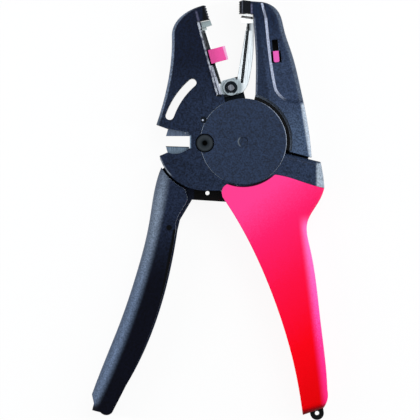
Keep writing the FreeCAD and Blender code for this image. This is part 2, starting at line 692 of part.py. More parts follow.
def make_lever():
    plate = new_body("lever_plate")
    pad(plate, LOW["lever"], HIGH["lever"], lever_plate_outline(0))
    pad(plate, LOW["lever"], HIGH["lever"],
        circle(LEVER, "sizes.lever_pin + sizes.bush_wall + sizes.eye_rim"))
    pad(plate, LOW["lever"], HIGH["lever"],
        path((-18.0, 5.6), ("line", (-33.0, 5.6), (-33.5, 3.9), (-24.0, 2.8), (-18.0, 0.0))))
    holes = [(LEVER, "sizes.lever_pin + sizes.bush_wall"), (DRIVE, "sizes.drive_pin + sizes.pin_fit"),
             (GRIP_PIN, "sizes.small_pin + sizes.pin_fit"), (HIDDEN_PIN, "sizes.small_pin + sizes.pin_fit"),
             (PEEP_HOLE, "sizes.peep_hole")]
    holes += [(spot, "sizes.blade_pin + sizes.pin_fit") for spot in BLADE_RIVETS]
    for centre, radius in holes:
        cut(plate, LOW["lever"], HIGH["lever"], circle(centre, radius))

    bush = new_body("lever_bush")
    pad(bush, LOW["lever"], HIGH["lever"], circle(LEVER, "sizes.lever_pin + sizes.bush_wall"),
        circle(LEVER, "sizes.lever_pin + sizes.pin_fit"))

    rear = new_body("lever_grip_rear")
    pad(rear, REAR, LOW["lever"], lever_grip_outline())
    front = new_body("lever_grip_front")
    pad(front, LOW["lever"], FRONT, lever_grip_outline())
    for half, face, radius in ((rear, REAR, "sizes.lever_round_rear"), (front, FRONT, "sizes.lever_round")):
        round_edges(half, radius, lambda edge: at_height(edge, face) and (
            ends_at(edge, GRIP_FOOT, GRIP_HEAD)))
        cut(half, "sizes.fit", f"{FRONT} - sizes.fit", circle(GRIP_PIN, "sizes.small_pin + sizes.pin_fit"))
        cut(half, "sizes.wall", f"{FRONT} - sizes.wall", circle(HIDDEN_PIN, "sizes.small_pin + sizes.pin_fit"))
    cut(front, LOW["lever"], HIGH["lever"], lever_plate_outline(size.fit))

    group("lever_grip_pins", [
        rod("grip_pin", GRIP_PIN, "2 * sizes.fit", f"{FRONT} - 2 * sizes.fit", "sizes.small_pin"),
        rod("hidden_pin", HIDDEN_PIN, "sizes.wall", f"{FRONT} - sizes.wall", "sizes.small_pin"),
    ])
    PIECES["drive_pin"] = rod("drive_pin", DRIVE, LOW["rear_lug"], HIGH["front_lug"], "sizes.drive_pin")

    blade = new_body("moving_cutter_blade")
    pad(blade, MOVING_LOW, MOVING_HIGH, path(
        MOVING_TIP, ("line", (-25.0, 2.7), (-22.6, 1.4), (-20.8, 3.6), (-22.0, 6.2), (-35.1, 5.8))))
    for spot in BLADE_RIVETS:
        cut(blade, MOVING_LOW, MOVING_HIGH, circle(spot, "sizes.blade_pin + sizes.pin_fit"))
    group("moving_blade_rivets", [rod("blade_rivet", spot, LOW["lever"], MOVING_HIGH, "sizes.blade_pin")
                                  for spot in BLADE_RIVETS])


# The right jaw: two half shells with pivot lugs, a toothed pad and the depth slider.
JAW_INNER = [(5.9, 31.1), (5.9, 38.1), (5.0, 53.0), (4.5, 59.5)]
JAW_RIDGE = [(10.6, 49.3), (12.4, 34.4), (14.3, 24.2)]
JAW_DOWELS = [(12.2, 58.0), (25.8, 4.0)]
SLIDER_TOP = (14.5, 47.4)
SLIDER_END = (15.5, 36.7)
SLIDER_NECK = 0.6
SLIDER_MOUTH = 0.5
SLIDER_STOP = 0.98
PAD_FACE = 3.4
JAW_TIP = (8.7, 64.9)
JAW_SIDE = [(12.5, 63.7), (15.3, 61.6), (17.0, 59.0), (18.9, 52.1), (22.5, 41.0), (26.1, 26.9),
            (30.1, 7.0), (31.7, -7.3)]
JAW_HOLLOW = (-11.0, 75.5)


def jaw_outline():
    start, end = JAW_HOLLOW
    return path(
        JAW_TIP,
        ("curve", *JAW_SIDE),
        ("line", (21.3, -4.6), polar(MAIN, size.jaw_arc, start)),
        ("arc", polar(MAIN, size.jaw_arc, (start + end) / 2), polar(MAIN, size.jaw_arc, end)),
        ("curve", *JAW_INNER),
        ("line", (PAD_FACE, 59.5), (PAD_FACE, 65.3)),
    )


def slider_box(top_share, end_share, half):
    """A box along the slider's window, between two shares of its length."""
    top = vec(SLIDER_TOP)
    run = vec(SLIDER_END) - top
    side = FreeCAD.Vector(-run.y, run.x, 0).normalize() * half
    a = top + run * top_share
    b = top + run * end_share
    return path(a - side, ("line", b - side, b + side, a + side))


def make_jaw_half(label, low, high, face, lug):
    body = new_body(label)
    pad(body, low, high, jaw_outline())
    round_edges(body, "sizes.jaw_side", lambda edge: at_height(edge, face) and (
        ends_at(edge, JAW_TIP, JAW_SIDE[-1])))
    rim = face
    if face == FRONT:
        rim = f"{FRONT} - sizes.pad_step"
        cut(body, rim, FRONT, path(
            (8.7, 67.0), ("curve", *JAW_RIDGE), ("curve", (17.1, 20.4), (27.8, 18.1)),
            ("line", (36.0, 16.5), (36.0, -9.0), (18.0, -9.0), (-3.0, 18.0), (-3.0, 67.0))))
        bevel_edges(body, "sizes.ridge_bevel", lambda edge: at_height(edge, FRONT) and (
            ends_at(edge, JAW_RIDGE[-1])))
        floor = f"{FRONT} - 4 * sizes.wall"
        cut(body, floor, FRONT, slider_box(0, SLIDER_NECK, size.slider_width / 2 + size.fit))
        cut(body, floor, FRONT, slider_box(SLIDER_MOUTH, 1.0, size.slider_width * 0.9))
    inner = (polar(MAIN, size.jaw_arc, JAW_HOLLOW[1]), JAW_INNER[-1])
    bevel_edges(body, "sizes.jaw_bevel", lambda edge: at_height(edge, rim) and ends_at(edge, *inner))
    pad(body, LOW[lug], HIGH[lug], circle(MAIN, "sizes.lug_hub"))
    pad(body, LOW[lug], HIGH[lug], sector(MAIN, size.jaw_arc + size.wall, *JAW_HOLLOW))
    if face == REAR:
        pad(body, LOW[lug], HIGH[lug], tongue_outline(0, 0))
    trail = drive_path(size.jaw_close)
    pad(body, LOW[lug], HIGH[lug], track(trail, SLOT_HALF + size.link_rim))
    pad(body, LOW[lug], HIGH[lug], capsule(MAIN, trail[-1], SLOT_HALF + size.link_rim))
    cut(body, LOW[lug], HIGH[lug], track(trail, SLOT_HALF))
    cut(body, LOW[lug], HIGH[lug], circle(MAIN, "sizes.main_pin + sizes.pin_fit"))
    reach = size.strip_width / 2 + 3 * size.play
    depth = size.blade_relief
    cut(body, f"{MIDDLE} - {reach}", f"{MIDDLE} + {reach}", path(
        (0.0, 15.0), ("line", (5.9 + depth, 20.0)), ("curve", *[(x + depth, y) for x, y in JAW_INNER]),
        ("line", (0.0, 59.5))))
    for spot in JAW_DOWELS:
        cut(body, DOWEL_LOW, DOWEL_HIGH, circle(spot, "sizes.small_pin + sizes.pin_fit"))


def make_jaw():
    make_jaw_half("right_jaw_rear", REAR, MIDDLE, REAR, "rear_lug")
    make_jaw_half("right_jaw_front", MIDDLE, FRONT, FRONT, "front_lug")
    group("jaw_dowels", [rod("jaw_dowel", spot, DOWEL_LOW, DOWEL_HIGH, "sizes.small_pin")
                         for spot in JAW_DOWELS])

    teeth = tooth_line((-2.0, 59.7), (-2.0, 65.0), (1.0, 0.0))
    grip = new_body("right_grip_pad")
    pad(grip, "sizes.wall", f"{FRONT} - sizes.wall",
        path((PAD_FACE, 59.7), ("line", *teeth), ("line", (-0.1, 65.8), (PAD_FACE, 65.3))))

    slider = new_body("depth_slider")
    share = size.slider_length / math.dist(SLIDER_END, SLIDER_TOP)
    pad(slider, f"{FRONT} - 4 * sizes.wall + sizes.fit", FRONT,
        slider_box(SLIDER_STOP - share, SLIDER_STOP, size.slider_width / 2))
    doc.recompute()
    middle = slider.Shape.BoundBox.Center.y
    round_edges(slider, "sizes.slider_round", lambda edge: (
        edge.BoundBox.ZLength > size.wall and edge.CenterOfMass.y < middle))


# The stripping drive: the rocker turns the lever's push into a pull on the draw plate.
def make_rocker():
    body = new_body("rocker")
    trail = drive_path(size.rocker_turn)
    low = LOW["rocker"]
    high = HIGH["rocker"]
    pad(body, low, high, circle(MAIN, "sizes.main_pin + 2 * sizes.link_rim"))
    pad(body, low, high, capsule(MAIN, CRANK, size.crank_pin + size.link_rim))
    pad(body, low, high, capsule(MAIN, trail[-1], SLOT_HALF + size.link_rim))
    pad(body, low, high, track(trail, SLOT_HALF + size.link_rim))
    cut(body, low, high, track(trail, SLOT_HALF))
    cut(body, low, high, circle(MAIN, "sizes.main_pin + sizes.pin_fit"))
    cut(body, low, high, circle(CRANK, "sizes.crank_pin + sizes.pin_fit"))
    PIECES["rocker_pin"] = rod("rocker_pin", CRANK, LOW["draw"], f"{HIGH['rocker']} + sizes.rocker_thick",
                               "sizes.crank_pin")


DRAW_HALF = 6.2
DRAW_TOP = 4.2
LEFT_ARM_LOW = HIGH["draw"]
LEFT_ARM_HIGH = f"{LEFT_ARM_LOW} + sizes.arm_thick"
RIGHT_ARM_LOW = f"{LEFT_ARM_HIGH} + sizes.play"
RIGHT_ARM_HIGH = f"{RIGHT_ARM_LOW} + sizes.arm_thick"
CLIP_LOW = f"{RIGHT_ARM_HIGH} + sizes.fit"
CLIP_HIGH = f"{CLIP_LOW} + sizes.clip_thick"
STRIP_LOW = f"{MIDDLE} - sizes.strip_width / 2"
STRIP_HIGH = f"{MIDDLE} + sizes.strip_width / 2"
ARM_LINE = -4.5
ARM_HALF = 1.7
ARM_END = -56.1
RAIL_LOW = f"{MIDDLE} - sizes.rail_depth"
RAIL_START = -31.0
RAIL_GROOVE = [channel(ARM_LINE, -53.0), channel(ARM_LINE, -33.0)]
RAIL_GROOVE_HALF = 0.55
HUB_PLATE_RIGHT = 4.6
HUB_PLATE_CORNER = 1.0
HUB_PLATE_LENGTH = 7.9
SPRING_LINE = [(-0.65, 27.9), (2.2, 53.0)]
SPRING_FLOOR = f"{RIGHT_ARM_HIGH} - 2 * sizes.arm_spring - sizes.fit"


def make_draw_plate():
    body = new_body("draw_plate")
    top = -size.hub_reach - DRAW_TOP
    half = size.main_pin + size.play
    slot_end = -size.pull - half - 3 * size.play
    prong_end = -1.0
    middle = -size.pull / 2
    tab = size.crank_pin + size.slot_play + size.link_rim
    tab_left = -size.crank_reach - tab + size.link_rim / 2
    pad(body, LOW["draw"], HIGH["draw"], path(
        channel(-DRAW_HALF, top), ("line", channel(DRAW_HALF, top), channel(DRAW_HALF, prong_end)),
        ("line", channel(half, prong_end), channel(half, slot_end + half)),
        ("arc", channel(0, slot_end), channel(-half, slot_end + half)),
        ("line", channel(-half, prong_end), channel(-DRAW_HALF, prong_end)),
        ("line", channel(-DRAW_HALF, middle + tab), channel(tab_left, middle + tab)),
        ("line", channel(tab_left, middle - tab), channel(-DRAW_HALF, middle - tab))))
    near = size.crank_reach * math.cos(math.radians(size.rocker_turn / 2))
    cut(body, LOW["draw"], HIGH["draw"], capsule(
        channel(-size.crank_reach, middle), channel(-near, middle), size.crank_pin + size.slot_play))
    cut(body, LOW["draw"], HIGH["draw"], circle(HUB, "sizes.hub_pin + sizes.pin_fit"))


def make_blade_arms():
    left = new_body("left_blade_arm")
    top = -size.hub_reach - DRAW_TOP
    foot = top + HUB_PLATE_LENGTH
    arm_left = ARM_LINE - ARM_HALF
    arm_right = ARM_LINE + ARM_HALF
    pad(left, LEFT_ARM_LOW, LEFT_ARM_HIGH, path(
        channel(arm_left, ARM_END), ("line", channel(arm_right, ARM_END), channel(arm_right, top)),
        ("line", channel(HUB_PLATE_RIGHT - HUB_PLATE_CORNER, top)),
        ("line", channel(HUB_PLATE_RIGHT, top + HUB_PLATE_CORNER), channel(HUB_PLATE_RIGHT, foot)),
        ("line", channel(arm_left, foot))))
    pad(left, RAIL_LOW, LEFT_ARM_LOW, path(
        channel(arm_left, ARM_END), ("line", channel(arm_right, ARM_END)),
        ("line", channel(arm_right, RAIL_START), channel(arm_left, RAIL_START))))
    cut(left, f"{RAIL_LOW} + sizes.rail_floor", LEFT_ARM_HIGH, capsule(*RAIL_GROOVE, RAIL_GROOVE_HALF))
    cut(left, LEFT_ARM_LOW, LEFT_ARM_HIGH, circle(HUB, "sizes.hub_pin + sizes.pin_fit"))

    right = new_body("right_blade_arm")
    pad(right, RIGHT_ARM_LOW, RIGHT_ARM_HIGH, path(
        (-0.6, 22.8), ("curve", (1.7, 25.8), (3.2, 31.3), (4.6, 41.4), (4.7, 55.1)),
        ("line", (1.7, 55.1), (-0.1, 44.6), (-2.9, 28.8), (-6.5, 28.6), (-6.5, 22.0))))
    pad(right, RIGHT_ARM_LOW, RIGHT_ARM_HIGH, circle(HUB, "sizes.hub_pin + 1.5 * sizes.link_rim"))
    cut(right, SPRING_FLOOR, RIGHT_ARM_HIGH, capsule(*SPRING_LINE, size.arm_groove / 2))
    cut(right, RIGHT_ARM_LOW, RIGHT_ARM_HIGH, circle(HUB, "sizes.hub_pin + sizes.pin_fit"))

    foot, tip = [vec(point) for point in SPRING_LINE]
    coil = doc.addObject("Part::Cylinder", "arm_spring")
    coil.Placement = FreeCAD.Placement(foot, FreeCAD.Rotation(FreeCAD.Vector(0, 0, 1), tip - foot))
    coil.setExpression("Placement.Base.z", f"{SPRING_FLOOR} + sizes.arm_spring")
    coil.setExpression("Radius", "sizes.arm_spring")
    coil.Height = (tip - foot).Length
    PIECES["arm_spring"] = coil

    PIECES["hub_pin"] = rod("hub_pin", HUB, LOW["draw"], f"{CLIP_HIGH} + sizes.play", "sizes.hub_pin")
    clip = new_body("hub_clip")
    pad(clip, CLIP_LOW, CLIP_HIGH, circle(HUB, "sizes.clip_radius"),
        circle(HUB, "sizes.hub_pin + sizes.pin_fit"))
    mouth = (HUB[0], HUB[1] - 2 * size.clip_radius)
    cut(clip, CLIP_LOW, CLIP_HIGH, capsule(HUB, mouth, size.hub_pin * 0.8))


def make_strip_blades():
    left = new_body("left_blade")
    pad(left, STRIP_LOW, STRIP_HIGH, path(
        channel(-4.8, ARM_END), ("line", (-19.7, 55.6), (-15.4, 56.5), (-14.6, 54.3)),
        ("line", channel(-2.65, ARM_END))))
    right = new_body("right_blade")
    pad(right, STRIP_LOW, STRIP_HIGH, path(
        (1.2, 55.1), ("line", (-0.9, 55.6), (-1.3, 57.6), (-0.98, 57.85), (3.5, 57.4), (3.5, 57.75)),
        ("line", (-0.98, 58.2), (-0.6, 58.9)),
        ("curve", (1.6, 59.5), (4.3, 58.8)),
        ("line", (4.7, 55.1))))


STOP_LOW = -45.4
STOP_HIGH = -38.9
STOP_RIGHT = 3.2
STOP_TAB = 0.4


def make_length_stop():
    body = new_body("length_stop")
    low = f"{LEFT_ARM_HIGH} + sizes.fit"
    tab_left = ARM_LINE - STOP_TAB
    tab_right = ARM_LINE + STOP_TAB
    pad(body, low, f"{RIGHT_ARM_HIGH} + sizes.play", path(
        channel(tab_left, STOP_LOW), ("line", channel(STOP_RIGHT, STOP_LOW), channel(STOP_RIGHT, STOP_HIGH)),
        ("line", channel(tab_left, STOP_HIGH))))
    pad(body, f"{LEFT_ARM_LOW} - sizes.arm_thick / 2", low, path(
        channel(tab_left, STOP_LOW), ("line", channel(tab_right, STOP_LOW)),
        ("line", channel(tab_right, STOP_HIGH), channel(tab_left, STOP_HIGH))))


make_frame()
make_hub_covers()
make_grip_sleeve()
make_fixed_small_parts()
make_left_grip_pad()
make_return_spring()
make_spring_post()
make_lever()
make_jaw()
make_rocker()
make_draw_plate()
make_blade_arms()
make_strip_blades()
make_length_stop()
doc.recompute()

for item in doc.Objects:
    if "Invalid" in item.State or "Error" in item.State:
        raise ValueError(f"{item.Label} failed: {item.State}")
for label, piece in PIECES.items():
    if piece.Shape.isNull() or not piece.Shape.isValid():
        raise ValueError(f"{label} has no valid shape")
os.makedirs("parts", exist_ok=True)
for label, piece in PIECES.items():
    piece.Shape.exportStep(f"parts/{label}.step")
    print(f"{label}: {len(piece.Shape.Solids)} solids, {piece.Shape.Volume:.1f} mm3")
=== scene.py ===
# %% [markdown]
# # A pliers-type automatic wire stripper
# The real tool is about 195 mm long: two moulded half shells, a squeezed lever with a black grip, a red
# sleeve on the fixed handle, and a small steel carriage with two stripping blades between toothed jaws.
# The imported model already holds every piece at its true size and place. This lesson gives the pieces
# their softened edges and their finishes, and adds a finer spring, two thin lips on a jaw, a studio and
# a camera. It moves and resizes nothing.

# %% Load the frame
import math

import bpy
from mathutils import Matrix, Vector


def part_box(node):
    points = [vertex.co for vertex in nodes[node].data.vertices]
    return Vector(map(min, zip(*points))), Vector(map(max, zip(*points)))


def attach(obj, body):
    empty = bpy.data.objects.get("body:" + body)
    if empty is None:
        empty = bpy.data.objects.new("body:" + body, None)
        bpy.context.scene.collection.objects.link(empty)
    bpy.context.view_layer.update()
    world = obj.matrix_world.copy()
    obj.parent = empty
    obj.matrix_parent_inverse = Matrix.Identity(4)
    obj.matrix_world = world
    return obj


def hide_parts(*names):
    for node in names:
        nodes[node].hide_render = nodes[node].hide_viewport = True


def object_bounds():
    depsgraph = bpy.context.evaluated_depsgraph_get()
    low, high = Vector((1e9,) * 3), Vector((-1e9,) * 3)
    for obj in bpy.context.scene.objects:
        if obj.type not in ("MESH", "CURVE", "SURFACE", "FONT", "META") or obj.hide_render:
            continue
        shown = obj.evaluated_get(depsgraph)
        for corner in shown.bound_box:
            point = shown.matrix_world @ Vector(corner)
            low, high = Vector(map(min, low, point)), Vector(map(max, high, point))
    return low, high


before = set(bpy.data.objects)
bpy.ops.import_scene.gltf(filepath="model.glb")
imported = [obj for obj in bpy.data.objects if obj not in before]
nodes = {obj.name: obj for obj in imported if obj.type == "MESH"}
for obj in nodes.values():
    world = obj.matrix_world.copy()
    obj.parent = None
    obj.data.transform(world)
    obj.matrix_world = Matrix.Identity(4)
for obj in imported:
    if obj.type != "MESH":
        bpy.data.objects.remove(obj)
cad_low, cad_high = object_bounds()
MM = 0.001
print("pieces:", len(nodes), "size in mm:", [round(side / MM, 1) for side in cad_high - cad_low])

# %% [markdown]
# ## Softened edges
# A moulded or stamped edge is never razor sharp: the mould has a small radius and a deburring drum
# breaks the steel. That tiny round is what catches the light and draws a thin bright line round each
# piece. One could model every fillet by hand. A modifier stack does it for all pieces at once and
# leaves the mesh below it alone: weld the split corners, melt flat triangles into whole faces, bevel
# what is left, and weight the normals by face area.

# %% Soften the edges of a piece
EDGE_ANGLE = math.radians(32)
FLAT_ANGLE = math.radians(0.4)
WELD_REACH = 0.002 * MM
MOULDED_EDGE = 0.30 * MM
STAMPED_EDGE = 0.20 * MM
MOULDED = ["frame_front", "frame_rear", "right_jaw_front", "right_jaw_rear", "lever_grip_front",
           "lever_grip_rear", "hub_cover_front", "hub_cover_rear", "lanyard_eye", "grip_sleeve"]
STAMPED = ["lever_plate", "draw_plate", "rocker", "left_blade_arm", "right_blade_arm", "hub_clip"]


def soften(name, width):
    piece = nodes[name]
    piece.data.polygons.foreach_set("use_smooth", [True] * len(piece.data.polygons))
    weld = piece.modifiers.new("weld corners", "WELD")
    weld.merge_threshold = WELD_REACH
    melt = piece.modifiers.new("melt flats", "DECIMATE")
    melt.decimate_type = "DISSOLVE"
    melt.angle_limit = FLAT_ANGLE
    edge = piece.modifiers.new("broken edge", "BEVEL")
    edge.width = width
    edge.segments = 2
    edge.limit_method = "ANGLE"
    edge.angle_limit = EDGE_ANGLE
    edge.use_clamp_overlap = True
    shade = piece.modifiers.new("weighted shading", "WEIGHTED_NORMAL")
    shade.keep_sharp = False


for name in MOULDED:
    soften(name, MOULDED_EDGE)
for name in STAMPED:
    soften(name, STAMPED_EDGE)
print("softened:", len(MOULDED), "moulded and", len(STAMPED), "stamped pieces")

# %% [markdown]
# ## Nodes in few words
# A finish is a small graph of nodes, which could be drawn by hand in the shader editor. Here each
# method adds one node, links what feeds it and hands back its result, so a finish reads as a list of
# steps and the same steps serve every material, the table and the sky.

# %% Wire nodes together
class Wiring:
    """The nodes of one material or world, with short ways to add and link them."""

    def __init__(self, tree):
        self.tree = tree

    def add(self, kind, operation=None):
        node = self.tree.nodes.new("ShaderNode" + kind)
        if operation:
            node.operation = operation
        return node

    def link(self, source, socket):
        self.tree.links.new(source, socket)

    def axes(self, source):
        parts = self.add("SeparateXYZ")
        self.link(source, parts.inputs["Vector"])
        return parts.outputs

    def combine(self, operation, first, second):
        step = self.add("Math", operation)
        self.link(first, step.inputs[0])
        self.link(second, step.inputs[1])
        return step.outputs["Value"]

    def spread(self, value, start, end, low, high, kind="LINEAR"):
        span = self.add("MapRange")
        span.interpolation_type = kind
        for name, level in (("From Min", start), ("From Max", end), ("To Min", low), ("To Max", high)):
            span.inputs[name].default_value = level
        self.link(value, span.inputs["Value"])
        return span.outputs["Result"]

    def blend(self, factor, first, second):
        mix = self.add("Mix")
        mix.data_type = "RGBA"
        for name, source in (("Factor", factor), ("A", first), ("B", second)):
            self.link(source, mix.inputs[name])
        return mix.outputs["Result"]

    def ramp(self, value, stops):
        scale = self.add("ValToRGB")
        elements = scale.color_ramp.elements
        for index, (position, colour) in enumerate(stops):
            stop = elements[index] if index < len(elements) else elements.new(position)
            stop.position = position
            stop.color = (*colour, 1)
        self.link(value, scale.inputs["Fac"])
        return scale.outputs["Color"]


print("node tools ready")

# %% [markdown]
# ## Where a spot lies
# Wear and grease follow the shape: along a line, round a pin, near an edge. These masks read the
# piece's own coordinates, turned into millimetres, and the direction a face looks in, and turn a
# measure into a soft rise or a soft band between 0 and 1. Painting by hand would do the same once; a
# measured band moves with the size it is written in.

# %% Masks by place
FRONT_TILT = (0.5, 0.9)
ROUND_TILT = (0.05, 0.45)


class Placed(Wiring):
    """The nodes of a material that knows where a spot lies, in millimetres."""

    def __init__(self, tree):
        super().__init__(tree)
        spot = self.add("TexCoord")
        enlarged = self.add("VectorMath", "SCALE")
        enlarged.inputs["Scale"].default_value = 1 / MM
        self.link(spot.outputs["Object"], enlarged.inputs[0])
        self.place = enlarged.outputs["Vector"]
        self.x, self.y, self.z = self.axes(self.place)
        facing = self.axes(spot.outputs["Normal"])
        self.facing_x = facing["X"]
        self.facing_z = facing["Z"]

    def reach(self, direction):
        step = self.add("VectorMath", "DOT_PRODUCT")
        step.inputs[1].default_value = (*direction, 0)
        self.link(self.place, step.inputs[0])
        return step.outputs["Value"]

    def distance_from(self, centre):
        flat = self.add("VectorMath", "MULTIPLY")
        flat.inputs[1].default_value = (1, 1, 0)
        self.link(self.place, flat.inputs[0])
        step = self.add("VectorMath", "DISTANCE")
        step.inputs[1].default_value = (*centre, 0)
        self.link(flat.outputs["Vector"], step.inputs[0])
        return step.outputs["Value"]

    def rise(self, value, start, end):
        return self.spread(value, start, end, 0.0, 1.0, "SMOOTHSTEP")

    def overlap(self, *masks):
        whole = masks[0]
        for mask in masks[1:]:
            whole = self.combine("MULTIPLY", whole, mask)
        return whole

    def band(self, value, start, end, soft):
        return self.overlap(self.rise(value, start - soft, start + soft),
                            self.rise(value, end + soft, end - soft))

    def front_side(self):
        return self.rise(self.facing_z, *FRONT_TILT)

    def rounded_edge(self, begin, softness):
        tilt = self.add("Math", "ABSOLUTE")
        self.link(self.facing_z, tilt.inputs[0])
        level = tilt.outputs["Value"]
        return self.overlap(self.rise(level, begin, begin - softness), self.rise(level, *ROUND_TILT))


print("place tools ready")

# %% [markdown]
# ## A finish in coats
# Every finish here has a grain. A noise texture gives it, a bump node turns it into relief, and the
# same noise mottles roughness and colour, as on a real skin where all three come from one surface.
# Colours go on in coats: the first covers the piece, and each later one lies over it where its masks
# overlap.

# %% Coats of a finish
GRAIN_RANGE = (0.3, 0.7)
TONE_RANGE = (0.34, 0.66)
BRUSH_STRETCH = (1.0, 0.04, 1.0)


class Finish(Placed):
    """One material with a grain, a surface and coats of colour."""

    def __init__(self, title, cell, detail, brush_turn=None):
        self.material = bpy.data.materials.new(title)
        self.material.use_nodes = True
        super().__init__(self.material.node_tree)
        self.shader = self.tree.nodes["Principled BSDF"]
        source = self.place if brush_turn is None else self.brushed(brush_turn)
        self.grain = self.speckle(source, cell, detail)
        self.colour = None

    def brushed(self, turn):
        stretch = self.add("Mapping")
        stretch.inputs["Rotation"].default_value = (0, 0, math.radians(turn))
        stretch.inputs["Scale"].default_value = BRUSH_STRETCH
        self.link(self.place, stretch.inputs["Vector"])
        return stretch.outputs["Vector"]

    def speckle(self, source, cell, detail):
        noise = self.add("TexNoise")
        noise.inputs["Scale"].default_value = 1 / cell
        noise.inputs["Detail"].default_value = detail
        self.link(source, noise.inputs["Vector"])
        return noise.outputs["Fac"]

    def surface(self, roughness, depth, strength):
        self.link(self.spread(self.grain, *GRAIN_RANGE, *roughness), self.shader.inputs["Roughness"])
        bump = self.add("Bump")
        bump.inputs["Strength"].default_value = strength
        bump.inputs["Distance"].default_value = depth * MM
        self.link(self.grain, bump.inputs["Height"])
        self.link(bump.outputs["Normal"], self.shader.inputs["Normal"])

    def tone(self, colour, contrast):
        shades = [[min(1.0, part * share) for part in colour] for share in (1 - contrast, 1 + contrast)]
        return self.ramp(self.grain, zip(TONE_RANGE, shades))

    def paint(self, colour, *masks):
        if masks:
            colour = self.blend(self.overlap(*masks), self.colour, colour)
        self.colour = colour

    def finished(self):
        self.link(self.colour, self.shader.inputs["Base Color"])
        return self.material


def dress(material, *names):
    for name in names:
        nodes[name].data.materials.clear()
        nodes[name].data.materials.append(material)
    print(material.name, "on", ", ".join(names))


print("finish tools ready")

# %% [markdown]
# ## Black moulded plastic
# Shells, jaws and covers are glass-filled nylon from a spark-eroded mould: nearly black with a cold
# cast and a fine even grain. Their rounded edges facing left and right get colours of their own, mostly
# pale painted highlights from the side lamps, and the floor of a recess is painted in shade. A flat
# black would look like rubber, so the grain drives colour, roughness and relief together.

# %% Black plastic
UNLIT = (0.0008, 0.0010, 0.0016)
FLOOR_TILT = (0.96, 0.99)
FLOOR_SOFTNESS = 0.1
EDGE_TILT = 0.99
EDGE_SOFTNESS = 0.1
SIDE_BEGINS = 0.2
SIDE_FULL = 0.55
LEFT = -1
RIGHT = 1


def plastic(title, cell, detail, roughness, depth, strength, gloss):
    skin = Finish(title, cell, detail)
    skin.surface(roughness, depth, strength)
    skin.shader.inputs["Specular IOR Level"].default_value = gloss
    return skin


def black_skin(title, gloss):
    return plastic(title, cell=0.7, detail=3.0, roughness=(0.38, 0.52), depth=0.05, strength=0.7,
                   gloss=gloss)


# The rounded edges that face one side, where the painted edge light goes.
def lit_side_edge(skin, side):
    edge = skin.rounded_edge(EDGE_TILT, EDGE_SOFTNESS)
    return skin.overlap(edge, skin.rise(skin.facing_x, SIDE_BEGINS * side, SIDE_FULL * side))


# Paints the given colours on the left and right rounded edges: painted highlight, and painted shade where
# a colour is dark.
def paint_edge_light(skin, left_edge, right_edge):
    skin.paint(left_edge, lit_side_edge(skin, LEFT))
    skin.paint(right_edge, lit_side_edge(skin, RIGHT))


def below(skin, level):
    return skin.rise(skin.z, level + FLOOR_SOFTNESS, level - FLOOR_SOFTNESS)


# Paints the unlit colour on flat floors below a level: painted shade in recesses.
def paint_floor_shade(skin, level):
    flat = skin.rise(skin.facing_z, *FLOOR_TILT)
    skin.paint(skin.tone(UNLIT, 0.4), flat, below(skin, level))


print("black plastic ready")

# %% [markdown]
# ## Half shells
# Each half shell is one moulding with the left jaw, the nose of the cutter and the shoulder beside the
# hub. It is darkest at the jaw and greyer toward the shoulder, a painted gradient of light. Thin painted
# highlights stand for the light that small chamfers catch beside the pad, under the nose, in the mouth of
# the cutter and along the shoulder. They could be cut as small chamfers. As narrow painted bands they
# cost no faces and stay crisp. Recess floors are painted in shade, and the rounded edges get painted
# highlights, brighter high on the left and toward the shoulder on the right.

# %% Half shells
LIP_OUT = (0.9646, 0.2636)
SHELL_FLOOR = 19


def middle_of(name):
    spots = [vertex.co / MM for vertex in nodes[name].data.vertices]
    sides = [spot.x for spot in spots], [spot.y for spot in spots]
    return [(min(side) + max(side)) / 2 for side in sides]


RIVET = middle_of("lever_pivot_rivet")


def shell_black():
    shell = black_skin("black shell plastic", 0.07)
    x, y, front = shell.x, shell.y, shell.front_side()
    shade = shell.tone((0.0027, 0.0056, 0.0163), 0.6)
    painted_highlight = shell.tone((0.33, 0.38, 0.44), 0.4)
    shell.paint(shade)
    # A painted gradient of light: greyer toward the shoulder.
    shell.paint(shell.tone((0.0190, 0.0300, 0.0600), 0.6),
                shell.spread(y, 38, 18, 0.0, 1.0), shell.spread(x, -45, 27, 0.25, 1.0))
    # Painted highlight beside the pad.
    pad_highlight = shell.band(shell.reach(LIP_OUT), -5.7, -4.8, 0.3)
    shell.paint(shell.tone((0.075, 0.075, 0.125), 0.4), pad_highlight, shell.band(y, 55.5, 60.5, 0.8))
    # Painted shade on recess floors.
    paint_floor_shade(shell, SHELL_FLOOR)
    # Painted highlight under the nose.
    nose_highlight = shell.band(shell.distance_from(RIVET), 21.4, 21.9, 0.2)
    shell.paint(shell.tone((0.18, 0.20, 0.23), 0.4), nose_highlight, shell.band(y, -15.5, -7.5, 1.0), front)
    # Painted highlight on the back wall of the cutter's mouth.
    mouth_wall_highlight = shell.band(x, -25.4, -24.3, 0.15)
    shell.paint(shell.tone((0.17, 0.23, 0.30), 0.3), mouth_wall_highlight, shell.band(y, -3.0, 2.8, 0.3), front)
    # Painted highlights on the rounded edges: darker low on the left and near the jaw on the right.
    left_edge = shell.blend(shell.rise(y, 6, 17), shell.tone((0.040, 0.052, 0.075), 0.5),
                            shell.tone((0.125, 0.155, 0.215), 0.55))
    paint_edge_light(shell, left_edge, shell.blend(shell.rise(x, -8, 2), shade, painted_highlight))
    # Painted highlight along the shoulder's right edge.
    shoulder_highlight = shell.rise(x, 33.3, 34.6)
    shell.paint(painted_highlight, shoulder_highlight, shell.band(y, -24, -9.5, 0.8), front)
    return shell.finished()


dress(shell_black(), "frame_front", "frame_rear", "lanyard_eye")

